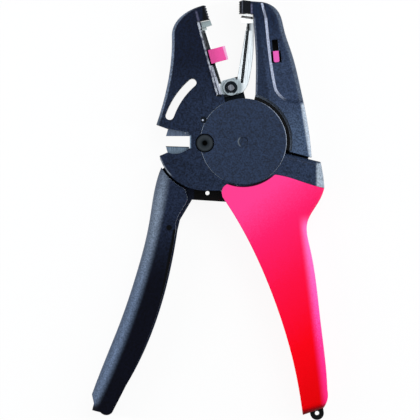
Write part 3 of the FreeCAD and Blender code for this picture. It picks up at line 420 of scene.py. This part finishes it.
# %% [markdown]
# ## Right jaw
# The right jaw swings on the main pin. A ridge parts its inner strip from its wing, its crown is nearly
# black and its lower end is painted greyer. The ridge and the low outer edge carry painted highlights,
# the brightest lines on the black plastic, and the outer edge above the step is painted in shade. The
# floor of the slider's slot is painted in shade, the outer half of the ring beside the hub cover carries
# a grey painted highlight, and a thin painted highlight lies beside the pad. One material serves both
# halves, and the lines that ask for a face looking forward stay on the front.

# %% Right jaw
MAIN_PIN = middle_of("main_pivot_pin")
JAW_FLOOR = 17
RING_MIDDLE = 21.7
RING_EDGE = 23.5
RIDGE_LIGHT = (0.50, 0.54, 0.68)


def jaw_black():
    jaw = black_skin("black jaw plastic", 0.08)
    x, y, front = jaw.x, jaw.y, jaw.front_side()
    ridge = jaw.rise(jaw.reach((0.990, 0.1385)), 14.0, 15.4)
    crown = jaw.tone((0.0058, 0.0126, 0.0335), 0.5)
    strip = jaw.tone((0.0126, 0.0210, 0.0443), 0.5)
    wing = jaw.tone((0.026, 0.040, 0.078), 0.5)
    painted_highlight = jaw.tone((0.46, 0.52, 0.60), 0.3)
    ridge_light = jaw.tone(RIDGE_LIGHT, 0.3)
    jaw.paint(crown)
    jaw.paint(jaw.blend(ridge, strip, wing), jaw.spread(y, 58, 36, 0.0, 1.0))
    jaw.paint(jaw.tone((0.050, 0.076, 0.130), 0.5), jaw.rise(y, 22, 4))
    # Painted shade on the floor of the slider's slot.
    paint_floor_shade(jaw, JAW_FLOOR)
    # Painted highlight on the outer half of the ring beside the hub cover.
    ring_highlight = jaw.band(jaw.distance_from(MAIN_PIN), RING_MIDDLE, RING_EDGE, 0.15)
    jaw.paint(jaw.tone((0.135, 0.165, 0.215), 0.4), ring_highlight, below(jaw, JAW_FLOOR))
    # Painted highlight beside the pad.
    pad_highlight = jaw.band(x, 3.4, 4.2, 0.2)
    jaw.paint(jaw.tone((0.10, 0.10, 0.17), 0.4), pad_highlight, jaw.band(y, 58.5, 64, 0.5))
    # Painted highlights on the ridge and the rounded edges; the outer edge above the step is painted in
    # shade.
    bright_ridge = jaw.overlap(ridge, jaw.spread(y, 19.5, 24, 0.15, 1.0))
    left_edge = jaw.blend(bright_ridge, jaw.tone((0.115, 0.135, 0.185), 0.5), ridge_light)
    left_edge = jaw.blend(jaw.rise(y, 56.6, 58.2), left_edge, crown)
    right_edge = jaw.blend(jaw.rise(y, 18.5, 17), jaw.tone((0.072, 0.093, 0.135), 0.5), painted_highlight)
    paint_edge_light(jaw, left_edge, right_edge)
    # Painted highlight that carries the ridge's light up to the crown.
    ridge_top_highlight = jaw.band(jaw.reach((0.9673, 0.2535)), 24.1, 25.1, 0.2)
    jaw.paint(ridge_light, ridge_top_highlight, jaw.band(y, 57, 64.6, 0.6), front)
    # Painted highlight on the low outer edge.
    low_edge_highlight = jaw.rise(jaw.reach((0.9876, 0.1567)), 28.5, 29.7)
    jaw.paint(painted_highlight, low_edge_highlight, jaw.band(y, -8.5, 17.5, 1.0), front)
    return jaw.finished()


dress(jaw_black(), "right_jaw_front", "right_jaw_rear")

# %% [markdown]
# ## Covers and toothed pads
# The covers are thin discs that close the hub. Their rims carry pale painted highlights, and a painted
# highlight on the left half of a ring marks the dimple in the middle. The toothed pads that hold the
# cable are plain black nylon with one lighter seam along the row of teeth. The two pads need the same
# finish along other lines, so the line is handed to one function.

# %% Covers and pads
def cover_black():
    cover = black_skin("black cover plastic", 0.15)
    cover.paint(cover.tone((0.0115, 0.0215, 0.048), 0.55))
    # Pale painted highlights on the left and right rims.
    paint_edge_light(cover, cover.tone((0.28, 0.32, 0.38), 0.4), cover.tone((0.32, 0.36, 0.44), 0.3))
    # Painted highlight on the left half of the ring round the dimple.
    dimple_highlight = cover.band(cover.distance_from(MAIN_PIN), 2.0, 2.6, 0.25)
    left_half = cover.spread(cover.x, -1.0, -2.0, 0.0, 0.75)
    cover.paint(cover.tone((0.15, 0.18, 0.21), 0.3), dimple_highlight, left_half)
    return cover.finished()


def pad_black(title, direction, start, end):
    pad = black_skin(title, 0.06)
    pad.paint(pad.tone((0.003, 0.004, 0.006), 0.5))
    pad.paint(pad.tone((0.075, 0.080, 0.100), 0.4), pad.band(pad.reach(direction), start, end, 0.12))
    return pad.finished()


dress(cover_black(), "hub_cover_front", "hub_cover_rear")
dress(pad_black("left pad nylon", (0.945, 0.327), 3.2, 3.65), "left_grip_pad")
dress(pad_black("right pad nylon", (1, 0), -0.75, -0.25), "right_grip_pad")

# %% [markdown]
# ## Black grip of the lever
# The grip is the same nylon. Its broad outer round carries a blue-grey painted highlight, a sheen, while
# the inner side is painted in shade almost black, and the grip is darker still toward the end. A thin
# painted highlight runs along the upper right edges. The outer edge is close to one large arc, so the
# distance from that arc's centre places the sheen. The hole over the grip pin is a small black spot of
# painted shade.

# %% Lever grip
GRIP_BLACK = (0.012, 0.018, 0.038)
GRIP_PIN = (-34.5, -39.9)
LEVER_ARC = (-406.8, 42.9)
LEVER_REACH = 372.0


def lever_black():
    grip = black_skin("black grip plastic", 0.04)
    y = grip.y
    unlit = grip.tone(UNLIT, 0.4)
    grip.paint(grip.tone((0.0012, 0.0016, 0.005), 0.5))
    grip.paint(grip.tone(GRIP_BLACK, 0.5), grip.rise(y, -66, -26))
    # Painted shade along the inner side.
    inner_side_shade = grip.rise(grip.reach((0.9826, -0.1855)), -24.6, -24.2)
    grip.paint(unlit, inner_side_shade, grip.band(y, -75, -40.5, 0.5))
    # Painted highlight on the upper right edges.
    grip.paint(grip.tone((0.45, 0.50, 0.56), 0.3), lit_side_edge(grip, RIGHT), grip.rise(y, -46, -42))
    # The sheen is a painted highlight, dimmer toward the top.
    sheen_tone = grip.blend(grip.rise(y, -80, -30), grip.tone((0.115, 0.155, 0.235), 0.35),
                      grip.tone((0.175, 0.215, 0.280), 0.35))
    sheen = grip.rise(grip.distance_from(LEVER_ARC), LEVER_REACH + 6.6, LEVER_REACH + 2.6)
    above_end = grip.rise(y, -124, -120)
    below_top = grip.spread(y, -12, -28, 0.55, 1.0)
    off_the_side = grip.spread(grip.facing_x, -0.95, -0.5, 0.5, 1.0)
    grip.paint(sheen_tone, sheen, above_end, below_top, off_the_side)
    # Painted shade in the hole over the grip pin.
    grip.paint(unlit, grip.rise(grip.distance_from(GRIP_PIN), 1.4, 1.2))
    return grip.finished()


dress(lever_black(), "lever_grip_front", "lever_grip_rear")

# %% [markdown]
# ## Red grip
# The sleeve on the fixed handle is a softer red plastic that is slid over the core. It has a finer skin
# than the shells. Its wide upper end is painted pinkish red as a painted reflection of the lamps, the
# slim end is pure red, and the outer side, where the fingers close, carries a violet-pink painted
# highlight. Its bottom end and the edge beside the hub cover are painted in shade. All of it follows from
# where a spot lies on the sleeve, so two colour ramps along its length do the work of a painted image.

# %% Red grip
# Ramps of painted reflection along the sleeve and of painted highlight on its outer side.
REFLECTED_RED = [(0.03, (0.80, 0.0005, 0.002)), (0.28, (1.0, 0.0008, 0.008)), (0.56, (1.0, 0.005, 0.055)),
             (0.79, (1.0, 0.014, 0.135)), (0.95, (1.0, 0.048, 0.26))]
HIGHLIGHT_VIOLET = [(0.0, (1.0, 0.016, 0.20)), (0.27, (0.97, 0.026, 0.25)), (0.55, (0.95, 0.085, 0.42)),
                (1.0, (0.95, 0.165, 0.52))]


def mottled(skin, value, share):
    return skin.combine("ADD", value, skin.spread(skin.grain, *GRAIN_RANGE, -share, share))


def red_plastic():
    sleeve = plastic("red grip plastic", cell=0.6, detail=2.0, roughness=(0.38, 0.46), depth=0.02,
                     strength=0.5, gloss=0.03)
    y = sleeve.y
    # Painted reflection: pinker toward the wide upper end.
    along = sleeve.spread(sleeve.reach((-0.62, 0.8)), -120.37, -20.37, 0.0, 1.0)
    sleeve.paint(sleeve.ramp(mottled(sleeve, along, 0.03), REFLECTED_RED))
    # Violet-pink painted highlight on the outer side.
    violet = sleeve.ramp(mottled(sleeve, sleeve.spread(y, -115, -41, 0.0, 1.0), 0.15), HIGHLIGHT_VIOLET)
    outer_highlight = sleeve.rise(sleeve.reach((0.9924, 0.1227)), 20.2, 24.4)
    sleeve.paint(violet, outer_highlight, sleeve.rise(y, -33, -41))
    # Painted shade on the bottom end.
    end = sleeve.rise(sleeve.reach((0.274, -0.962)), 126.4, 129.0)
    sleeve.paint(sleeve.tone((0.20, 0.001, 0.004), 0.3), end)
    # Painted shade in the gap beside the hub cover.
    hub_gap_shade = sleeve.rise(sleeve.distance_from(MAIN_PIN), 21.3, 20.9)
    sleeve.paint(sleeve.tone((0.012, 0.002, 0.004), 0.3), hub_gap_shade)
    return sleeve.finished()


dress(red_plastic(), "grip_sleeve")

# %% [markdown]
# ## Pink stop and violet slider
# The length stop and the depth slider are set by a finger, so they are moulded in colours that stand
# out. They are small, smooth pieces with little grain. The stop's tip, which the end of the wire meets,
# carries a pale painted highlight. The tip is measured on the imported piece itself, so the painted
# highlight stays on it if the stop grows.

# %% Stop and slider
ACROSS_STOP = (0.955, 0.298)


def pink_plastic(title, colour):
    button = plastic(title, cell=0.5, detail=2.0, roughness=(0.33, 0.41), depth=0.01, strength=0.5,
                     gloss=0.15)
    button.paint(button.tone(colour, 0.05))
    return button


def stop_pink():
    stop = pink_plastic("pink stop plastic", (1.0, 0.095, 0.380))
    across = Vector((*ACROSS_STOP, 0))
    tip = max(spot.co.dot(across) for spot in nodes["length_stop"].data.vertices) / MM
    # Pale painted highlight on the stop's tip.
    tip_highlight = stop.band(stop.reach(ACROSS_STOP), tip - 1.1, tip + 1.0, 0.15)
    stop.paint(stop.tone((1.0, 0.42, 0.68), 0.05), tip_highlight)
    return stop.finished()


dress(stop_pink(), "length_stop")
dress(pink_plastic("violet slider plastic", (0.78, 0.105, 0.425)).finished(), "depth_slider")

# %% [markdown]
# ## Steel
# The blades are ground, the pins are turned, the clip, the dowels and the draw plate are blackened, and
# the lever's bush is bronze. One metal finish with other colours and line directions serves them all. A
# metal in a white studio shows its own colour, so the greys here are the greys the eye sees. A noise
# stretched along one axis gives the lines of the grinding.

# %% Steel finishes
BLACKENED = (0.006, 0.008, 0.011)
UPRIGHT = 90


def bare_steel(title, shine, line, turn=0):
    metal = Finish(title, cell=line, detail=3.0, brush_turn=turn)
    metal.surface((shine - 0.06, shine + 0.08), depth=0.004, strength=0.5)
    metal.shader.inputs["Metallic"].default_value = 1.0
    return metal


def steel(title, colour, shine, line, turn=0, contrast=0.2):
    metal = bare_steel(title, shine, line, turn)
    metal.paint(metal.tone(colour, contrast))
    return metal.finished()


dress(steel("turned steel", (0.30, 0.32, 0.34), 0.30, 0.25), "rocker", "rocker_pin", "main_pivot_pin",
      "drive_pin", "cutter_blade_pins", "spring_post")
dress(steel("dull pin steel", (0.11, 0.12, 0.14), 0.35, 0.3, contrast=0.5), "hub_pin")
dress(steel("ground blade steel", (0.115, 0.160, 0.215), 0.30, 0.2, UPRIGHT, 0.45), "fixed_cutter_blade")
dress(steel("dark blade steel", (0.110, 0.145, 0.215), 0.34, 0.2, UPRIGHT, 0.4), "moving_cutter_blade",
      "moving_blade_rivets")
dress(steel("left blade steel", (0.22, 0.27, 0.28), 0.30, 0.2, UPRIGHT), "left_blade")
dress(steel("blackened steel", BLACKENED, 0.45, 0.5, contrast=0.3), "jaw_dowels", "lever_grip_pins",
      "hub_clip", "draw_plate")
dress(steel("spring wire", (0.30, 0.31, 0.33), 0.3, 0.2), "return_spring", "arm_spring")
dress(steel("bush bronze", (0.48, 0.29, 0.11), 0.35, 0.3), "lever_bush")

# %% [markdown]
# ## Rivet, seam pin and blade line
# The lever rivet's face is painted with a black dimple at its middle, a lighter ring and a dark rim,
# where the dimple and the rim are painted shade. One ramp over the distance from its axis draws all
# three. The pin at the seam of the shells shows a small glint on blackened steel, and a dark line of
# painted shade runs across the bright right blade. Each is one mask on bare steel.

# %% Rivet, seam pin and blade line
RIVET_RADIUS = 4.65
# Rings of the rivet face: the black middle and the dark rim are painted shade.
RIVET_SHADE_RINGS = [(0.22, (0.001, 0.001, 0.001)), (0.36, (0.014, 0.018, 0.022)), (0.66, (0.026, 0.031, 0.036)),
               (0.80, (0.012, 0.015, 0.018)), (0.86, (0.001, 0.001, 0.002))]
SEAM_GLINT = (-18.85, 10.0)


def rivet_steel():
    rivet = bare_steel("rivet steel with painted shade", 0.4, 0.3)
    outward = rivet.spread(rivet.distance_from(RIVET), 0.0, RIVET_RADIUS, 0.0, 1.0)
    rivet.paint(rivet.ramp(outward, RIVET_SHADE_RINGS))
    return rivet.finished()


def dowel_steel():
    dowel = bare_steel("blackened dowel steel", 0.45, 0.5)
    dowel.paint(dowel.tone(BLACKENED, 0.3))
    glint = dowel.rise(dowel.distance_from(SEAM_GLINT), 0.60, 0.15)
    dowel.paint(dowel.tone((0.42, 0.47, 0.58), 0.1), glint)
    return dowel.finished()


def right_blade_steel():
    blade = bare_steel("right blade steel", 0.26, 0.2, UPRIGHT)
    blade.paint(blade.tone((0.88, 0.91, 0.92), 0.08))
    # Painted shade along the blade's edge.
    edge_shade_line = blade.band(blade.reach((0.114, 0.993)), 57.05, 58.15, 0.12)
    blade.paint(blade.tone((0.004, 0.004, 0.005), 0.3), edge_shade_line)
    return blade.finished()


dress(rivet_steel(), "lever_pivot_rivet")
dress(dowel_steel(), "frame_dowels")
dress(right_blade_steel(), "right_blade")

# %% [markdown]
# ## Blade arms
# The arms are bright strip with rolling lines, duller around the hub where the clip rubs and dark at
# the cut edges. Painted shade makes them black in the grooves, beside and under the length stop, where
# the jaw covers the left arm and below the hub plate, and they are black round the hub pin. Each arm is
# one flat sheet, so the change lies in the finish, and both arms share the coats round the hub.

# %% Blade arms
HUB = middle_of("hub_pin")
ROLLING_LINES = -15
SHADE_BLACK = (0.012, 0.014, 0.017)
STOP_TRACK = -2.21
HEAD_BANDS = [(0.05, (0.80, 0.84, 0.86)), (0.12, (0.012, 0.014, 0.016)), (0.38, (0.020, 0.022, 0.024)),
             (0.50, (0.16, 0.18, 0.19)), (0.90, (0.60, 0.66, 0.70))]


def arm_skin(title, colour, top):
    arm = bare_steel(title, 0.3, 0.25, ROLLING_LINES)
    shade_black = arm.tone(SHADE_BLACK, 0.5)
    from_hub = arm.distance_from(HUB)
    arm.paint(arm.tone((0.27, 0.32, 0.35), 0.2))
    arm.paint(arm.tone(colour, 0.12), arm.rise(from_hub, 4.6, 6.0))
    arm.paint(arm.tone((0.10, 0.11, 0.12), 0.3), arm.rounded_edge(0.97, 0.2))
    # Painted shade in the grooves, and black round the hub pin.
    groove = arm.rise(arm.z, top / MM - 0.26, top / MM - 0.32)
    arm.paint(shade_black, groove)
    arm.paint(shade_black, arm.rise(from_hub, 2.7, 2.4))
    return arm


def left_arm_steel(top):
    arm = arm_skin("left arm steel", (0.90, 0.93, 0.95), top)
    across, y = arm.reach(ACROSS_STOP), arm.y
    outer_rim = arm.rise(across, STOP_TRACK - 0.55, STOP_TRACK - 0.75)
    arm.paint(arm.tone((0.42, 0.45, 0.53), 0.5), outer_rim)
    # Painted shade beside and under the length stop.
    track_shade = arm.band(across, STOP_TRACK - 0.65, STOP_TRACK + 0.6, 0.12)
    arm.paint(arm.tone((0.022, 0.026, 0.028), 0.8), track_shade, arm.band(y, 27, 53, 0.3))
    # Painted shade in the slot.
    slot_shade = arm.band(across, STOP_TRACK - 1.95, STOP_TRACK + 0.6, 0.12)
    arm.paint(arm.tone((0.060, 0.066, 0.072), 0.9), slot_shade, arm.band(y, 42, 51.5, 0.5))
    arm.paint(arm.tone((0.004, 0.004, 0.006), 0.5), slot_shade, arm.band(y, 35.5, 43, 0.3))
    head = arm.rise(y, 51.6, 52.2)
    arm.paint(arm.tone((0.40, 0.46, 0.46), 0.2), head)
    # Painted shadow where the jaw covers the arm and at the head's edge.
    beside_jaw = arm.rise(across, STOP_TRACK - 1.65, STOP_TRACK - 1.95)
    head_edge = arm.overlap(head, arm.rise(across, STOP_TRACK - 0.4, STOP_TRACK - 0.7))
    jaw_shadow = arm.combine("MAXIMUM", beside_jaw, head_edge)
    arm.paint(arm.tone((0.012, 0.017, 0.034), 0.3), jaw_shadow)
    # Painted shade below the hub plate.
    arm.paint(arm.tone(SHADE_BLACK, 0.5), arm.rise(y, 22.3, 21.9))
    return arm.finished()


def right_arm_steel(top):
    arm = arm_skin("right arm steel", (0.60, 0.65, 0.68), top)
    # Light and dark bands across the right arm's head.
    head_bands = arm.ramp(arm.spread(arm.x, 1.5, 4.5, 0.0, 1.0), HEAD_BANDS)
    arm.paint(head_bands, arm.rise(arm.y, 51.5, 51.9))
    return arm.finished()


dress(left_arm_steel(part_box("left_blade_arm")[1].z), "left_blade_arm")
dress(right_arm_steel(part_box("right_blade_arm")[1].z), "right_blade_arm")

# %% [markdown]
# ## Lever plate
# The lever's core is a steel plate, coated like the grip where it shows beside it. Its inner end is
# blackened steel, painted near black with painted shade as well. It is a coating and no bare metal, so
# the black plastic's skin serves better than the steel's.

# %% Lever plate
def plate_steel():
    plate = black_skin("coated plate steel", 0.08)
    plate.paint(plate.tone(GRIP_BLACK, 0.5))
    # Near black inner end: blackened steel under painted shade.
    plate.paint(plate.tone((0.0005, 0.0006, 0.0008), 0.5), plate.rise(plate.x, -23.4, -22.6))
    return plate.finished()


dress(plate_steel(), "lever_plate")

# %% [markdown]
# ## Spring in the blade arm
# A thin coil spring lies in the groove of the right blade arm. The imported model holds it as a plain
# rod, which is enough to collide and to weigh. Up close the coils show, so a wire is swept along a
# helix of the same length and width. A curve with a bevel would do too; a mesh of rings keeps the
# number of faces known.

# %% Coil the arm spring
COILS = 28
STEPS_PER_COIL = 14
WIRE = 0.11 * MM
WIRE_SIDES = 6
WIRE_ROOM = 1.2 * WIRE
END_ROOM = 2 * WIRE


def add_piece(title, corners, faces, smooth):
    mesh = bpy.data.meshes.new(title)
    mesh.from_pydata(corners, [], faces)
    mesh.polygons.foreach_set("use_smooth", [smooth] * len(mesh.polygons))
    piece = bpy.data.objects.new(title, mesh)
    bpy.context.scene.collection.objects.link(piece)
    return piece


def rod_ends(rod):
    spots = [vertex.co.copy() for vertex in rod.data.vertices]
    middle = sum(spot.y for spot in spots) / len(spots)
    low_ring = [spot for spot in spots if spot.y < middle]
    high_ring = [spot for spot in spots if spot.y >= middle]
    foot = sum(low_ring, Vector()) / len(low_ring)
    tip = sum(high_ring, Vector()) / len(high_ring)
    return foot, tip, max((spot - foot).length for spot in low_ring)


def coil_spring(title, rod):
    foot, tip, rod_radius = rod_ends(rod)
    coil_radius = rod_radius - WIRE_ROOM
    along = (tip - foot).normalized()
    side = along.cross(Vector((0, 0, 1))).normalized()
    up = side.cross(along)
    start = foot + along * END_ROOM
    length = (tip - foot).length - 2 * END_ROOM
    corners = []
    steps = COILS * STEPS_PER_COIL
    for step in range(steps + 1):
        turn = 2 * math.pi * step / STEPS_PER_COIL
        outward = side * math.cos(turn) + up * math.sin(turn)
        heart = start + along * (length * step / steps) + outward * coil_radius
        for corner in range(WIRE_SIDES):
            angle = 2 * math.pi * corner / WIRE_SIDES
            offset = outward * math.cos(angle) + along * math.sin(angle)
            corners.append(heart + offset * WIRE)
    faces = []
    for step in range(steps):
        for corner in range(WIRE_SIDES):
            here = step * WIRE_SIDES + corner
            beside = step * WIRE_SIDES + (corner + 1) % WIRE_SIDES
            faces.append((here, beside, beside + WIRE_SIDES, here + WIRE_SIDES))
    return add_piece(title, corners, faces, True)


arm_coil = coil_spring("arm_spring_coil", nodes["arm_spring"])
arm_coil.data.materials.append(steel("dark spring wire", (0.15, 0.17, 0.18), 0.35, 0.2))
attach(arm_coil, "right_arm")
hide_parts("arm_spring")
print("arm spring:", COILS, "coils,", len(arm_coil.data.polygons), "faces")

# %% [markdown]
# ## Lips of the left jaw
# Each half shell of the left jaw ends in a thin moulded lip that covers the gap beside the blade arm.
# It is painted pale and mottled as a painted highlight, with painted shadow along its side toward the
# blade arm. The lip is too fine for the imported model. It is one flat outline, written in steps away
# from the jaw's edge and along it, and raised to a thin bar, once for the front and once for the rear.

# %% Jaw lips
LIP_UP = (-LIP_OUT[1], LIP_OUT[0])
LIP_OUTLINE = [(-6.43, 24.14), (-5.50, 24.30), (-5.50, 55.70), (-4.50, 56.60), (-4.50, 59.35),
               (-6.10, 59.42), (-6.23, 56.84)]
LIP_LEVELS = {"front": (16.8, 18.8), "rear": (1.2, 3.2)}


def lip_black():
    lip = black_skin("lip plastic with painted highlight", 0.1)
    mottle = lip.speckle(lip.place, 2.2, 2.0)
    # Pale mottled painted highlight.
    lip.paint(lip.ramp(mottle, [(0.38, (0.13, 0.13, 0.18)), (0.62, (0.55, 0.58, 0.64))]))
    # Painted shadow along the side toward the blade arm.
    lip.paint(lip.tone((0.010, 0.014, 0.028), 0.4), lip.rise(lip.reach(LIP_OUT), -5.3, -5.0))
    return lip.finished()


def jaw_lip(title, bottom, top):
    flat = [Vector(LIP_OUT) * out + Vector(LIP_UP) * up for out, up in LIP_OUTLINE]
    corners = [Vector((*spot, level)) * MM for level in (bottom, top) for spot in flat]
    count = len(flat)
    faces = [tuple(reversed(range(count))), tuple(range(count, 2 * count))]
    for index in range(count):
        after = (index + 1) % count
        faces.append((index, after, after + count, index + count))
    return add_piece(title, corners, faces, False)


lip_finish = lip_black()
for side, (bottom, top) in LIP_LEVELS.items():
    lip = jaw_lip(f"left_jaw_lip_{side}", bottom, top)
    lip.data.materials.append(lip_finish)
    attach(lip, "frame")
    print("lip on the", side, "shell")

# %% [markdown]
# ## Table and sky
# The tool lies flat on a white table. The table is white to the camera and to reflections, with a share
# of plain diffuse white left in so that the tool keeps its soft shadow. A plain white card would need
# strong lamps to come out white; a table that glows where it is seen stays white in soft light.

# %% Table and sky
WHITE = (1, 1, 1, 1)
TABLE_WHITE = (0.98, 0.98, 0.98, 1)
TABLE_SIZE = 8
TABLE_GAP = 0.2 * MM
SHADOW_SHARE = 0.07
ROOM_TINT = (0.86, 0.93, 1.0, 1)
ROOM_STRENGTH = 0.22


def seen_directly(wiring):
    path = wiring.add("LightPath")
    clear = wiring.combine("MAXIMUM", path.outputs["Is Camera Ray"], path.outputs["Is Glossy Ray"])
    return wiring.combine("MAXIMUM", clear, path.outputs["Is Transmission Ray"])


def choose_shader(wiring, factor, first, second, output):
    mix = wiring.add("MixShader")
    wiring.link(factor, mix.inputs["Fac"])
    wiring.link(first, mix.inputs[1])
    wiring.link(second, mix.inputs[2])
    wiring.link(mix.outputs["Shader"], wiring.tree.nodes[output].inputs["Surface"])


def white_floor():
    material = bpy.data.materials.new("white table")
    material.use_nodes = True
    table = Wiring(material.node_tree)
    table.tree.nodes.remove(table.tree.nodes["Principled BSDF"])
    matt = table.add("BsdfDiffuse")
    matt.inputs["Color"].default_value = TABLE_WHITE
    glow = table.add("Emission")
    glow.inputs["Color"].default_value = WHITE
    glowing = table.spread(seen_directly(table), 0.0, 1.0, 0.0, 1 - SHADOW_SHARE)
    choose_shader(table, glowing, matt.outputs["BSDF"], glow.outputs["Emission"], "Material Output")
    return material


bpy.ops.mesh.primitive_plane_add(size=TABLE_SIZE, location=(0, 0, cad_low.z - TABLE_GAP))
floor = bpy.context.object
floor.name = "white_table"
floor.data.materials.append(white_floor())

world = bpy.context.scene.world or bpy.data.worlds.new("studio")
bpy.context.scene.world = world
world.use_nodes = True
sky = Wiring(world.node_tree)
room = sky.tree.nodes["Background"]
room.inputs["Color"].default_value = ROOM_TINT
room.inputs["Strength"].default_value = ROOM_STRENGTH
backdrop = sky.add("Background")
backdrop.inputs["Color"].default_value = WHITE
backdrop.inputs["Strength"].default_value = 1.0
choose_shader(sky, seen_directly(sky), room.outputs["Background"], backdrop.outputs["Background"],
              "World Output")
print("table", TABLE_SIZE, "m wide, room light", ROOM_STRENGTH)

# %% [markdown]
# ## Soft boxes
# A soft box above the jaws lights the flat sides, and two narrow strips low at the left and right draw
# a bright line along the rounded edges. Point lamps would give hard shadows; wide lamps keep them soft.

# %% Soft boxes
LAMP_TINT = (0.92, 0.96, 1.0)
HEART = (-0.015, -0.03, 0.01)
SOFT_BOXES = [("upper box", (0.22, 0.38, 0.75), 0.5, 0.4, 3.6),
              ("left strip", (-0.60, -0.05, 0.30), 0.10, 0.9, 3.4),
              ("right strip", (0.60, -0.05, 0.28), 0.10, 0.9, 3.0)]


def soft_box(title, place, width, height, power):
    lamp = bpy.data.lights.new(title, "AREA")
    lamp.shape = "RECTANGLE"
    lamp.size = width
    lamp.size_y = height
    lamp.energy = power
    lamp.color = LAMP_TINT
    box = bpy.data.objects.new(title, lamp)
    box.location = place
    box.rotation_euler = (Vector(HEART) - Vector(place)).to_track_quat("-Z", "Y").to_euler()
    box.visible_camera = False
    bpy.context.scene.collection.objects.link(box)
    print(title, "of", power, "watts")


for settings in SOFT_BOXES:
    soft_box(*settings)

# %% [markdown]
# ## Camera
# The photograph looks straight down on the front face, with no visible perspective, so a long lens
# stands far off right above the middle of the picture. A camera without perspective would do as well
# for this one view.

# %% Camera
PICTURE_CENTRE = (-15.5 * MM, -31.7 * MM)
PICTURE_WIDTH = 195.5 * MM
FAR_OFF = 3.0
SIGHT = 20
SENSOR_WIDTH = 36.0
lens = bpy.data.cameras.new("long lens")
lens.sensor_width = SENSOR_WIDTH
lens.lens = SENSOR_WIDTH * FAR_OFF / PICTURE_WIDTH
lens.clip_end = SIGHT
camera = bpy.data.objects.new("camera", lens)
camera.location = (*PICTURE_CENTRE, (cad_low.z + cad_high.z) / 2 + FAR_OFF)
bpy.context.scene.collection.objects.link(camera)
bpy.context.scene.camera = camera
bpy.context.scene.view_settings.view_transform = "Standard"
print("lens", round(lens.lens), "mm at", FAR_OFF, "m")
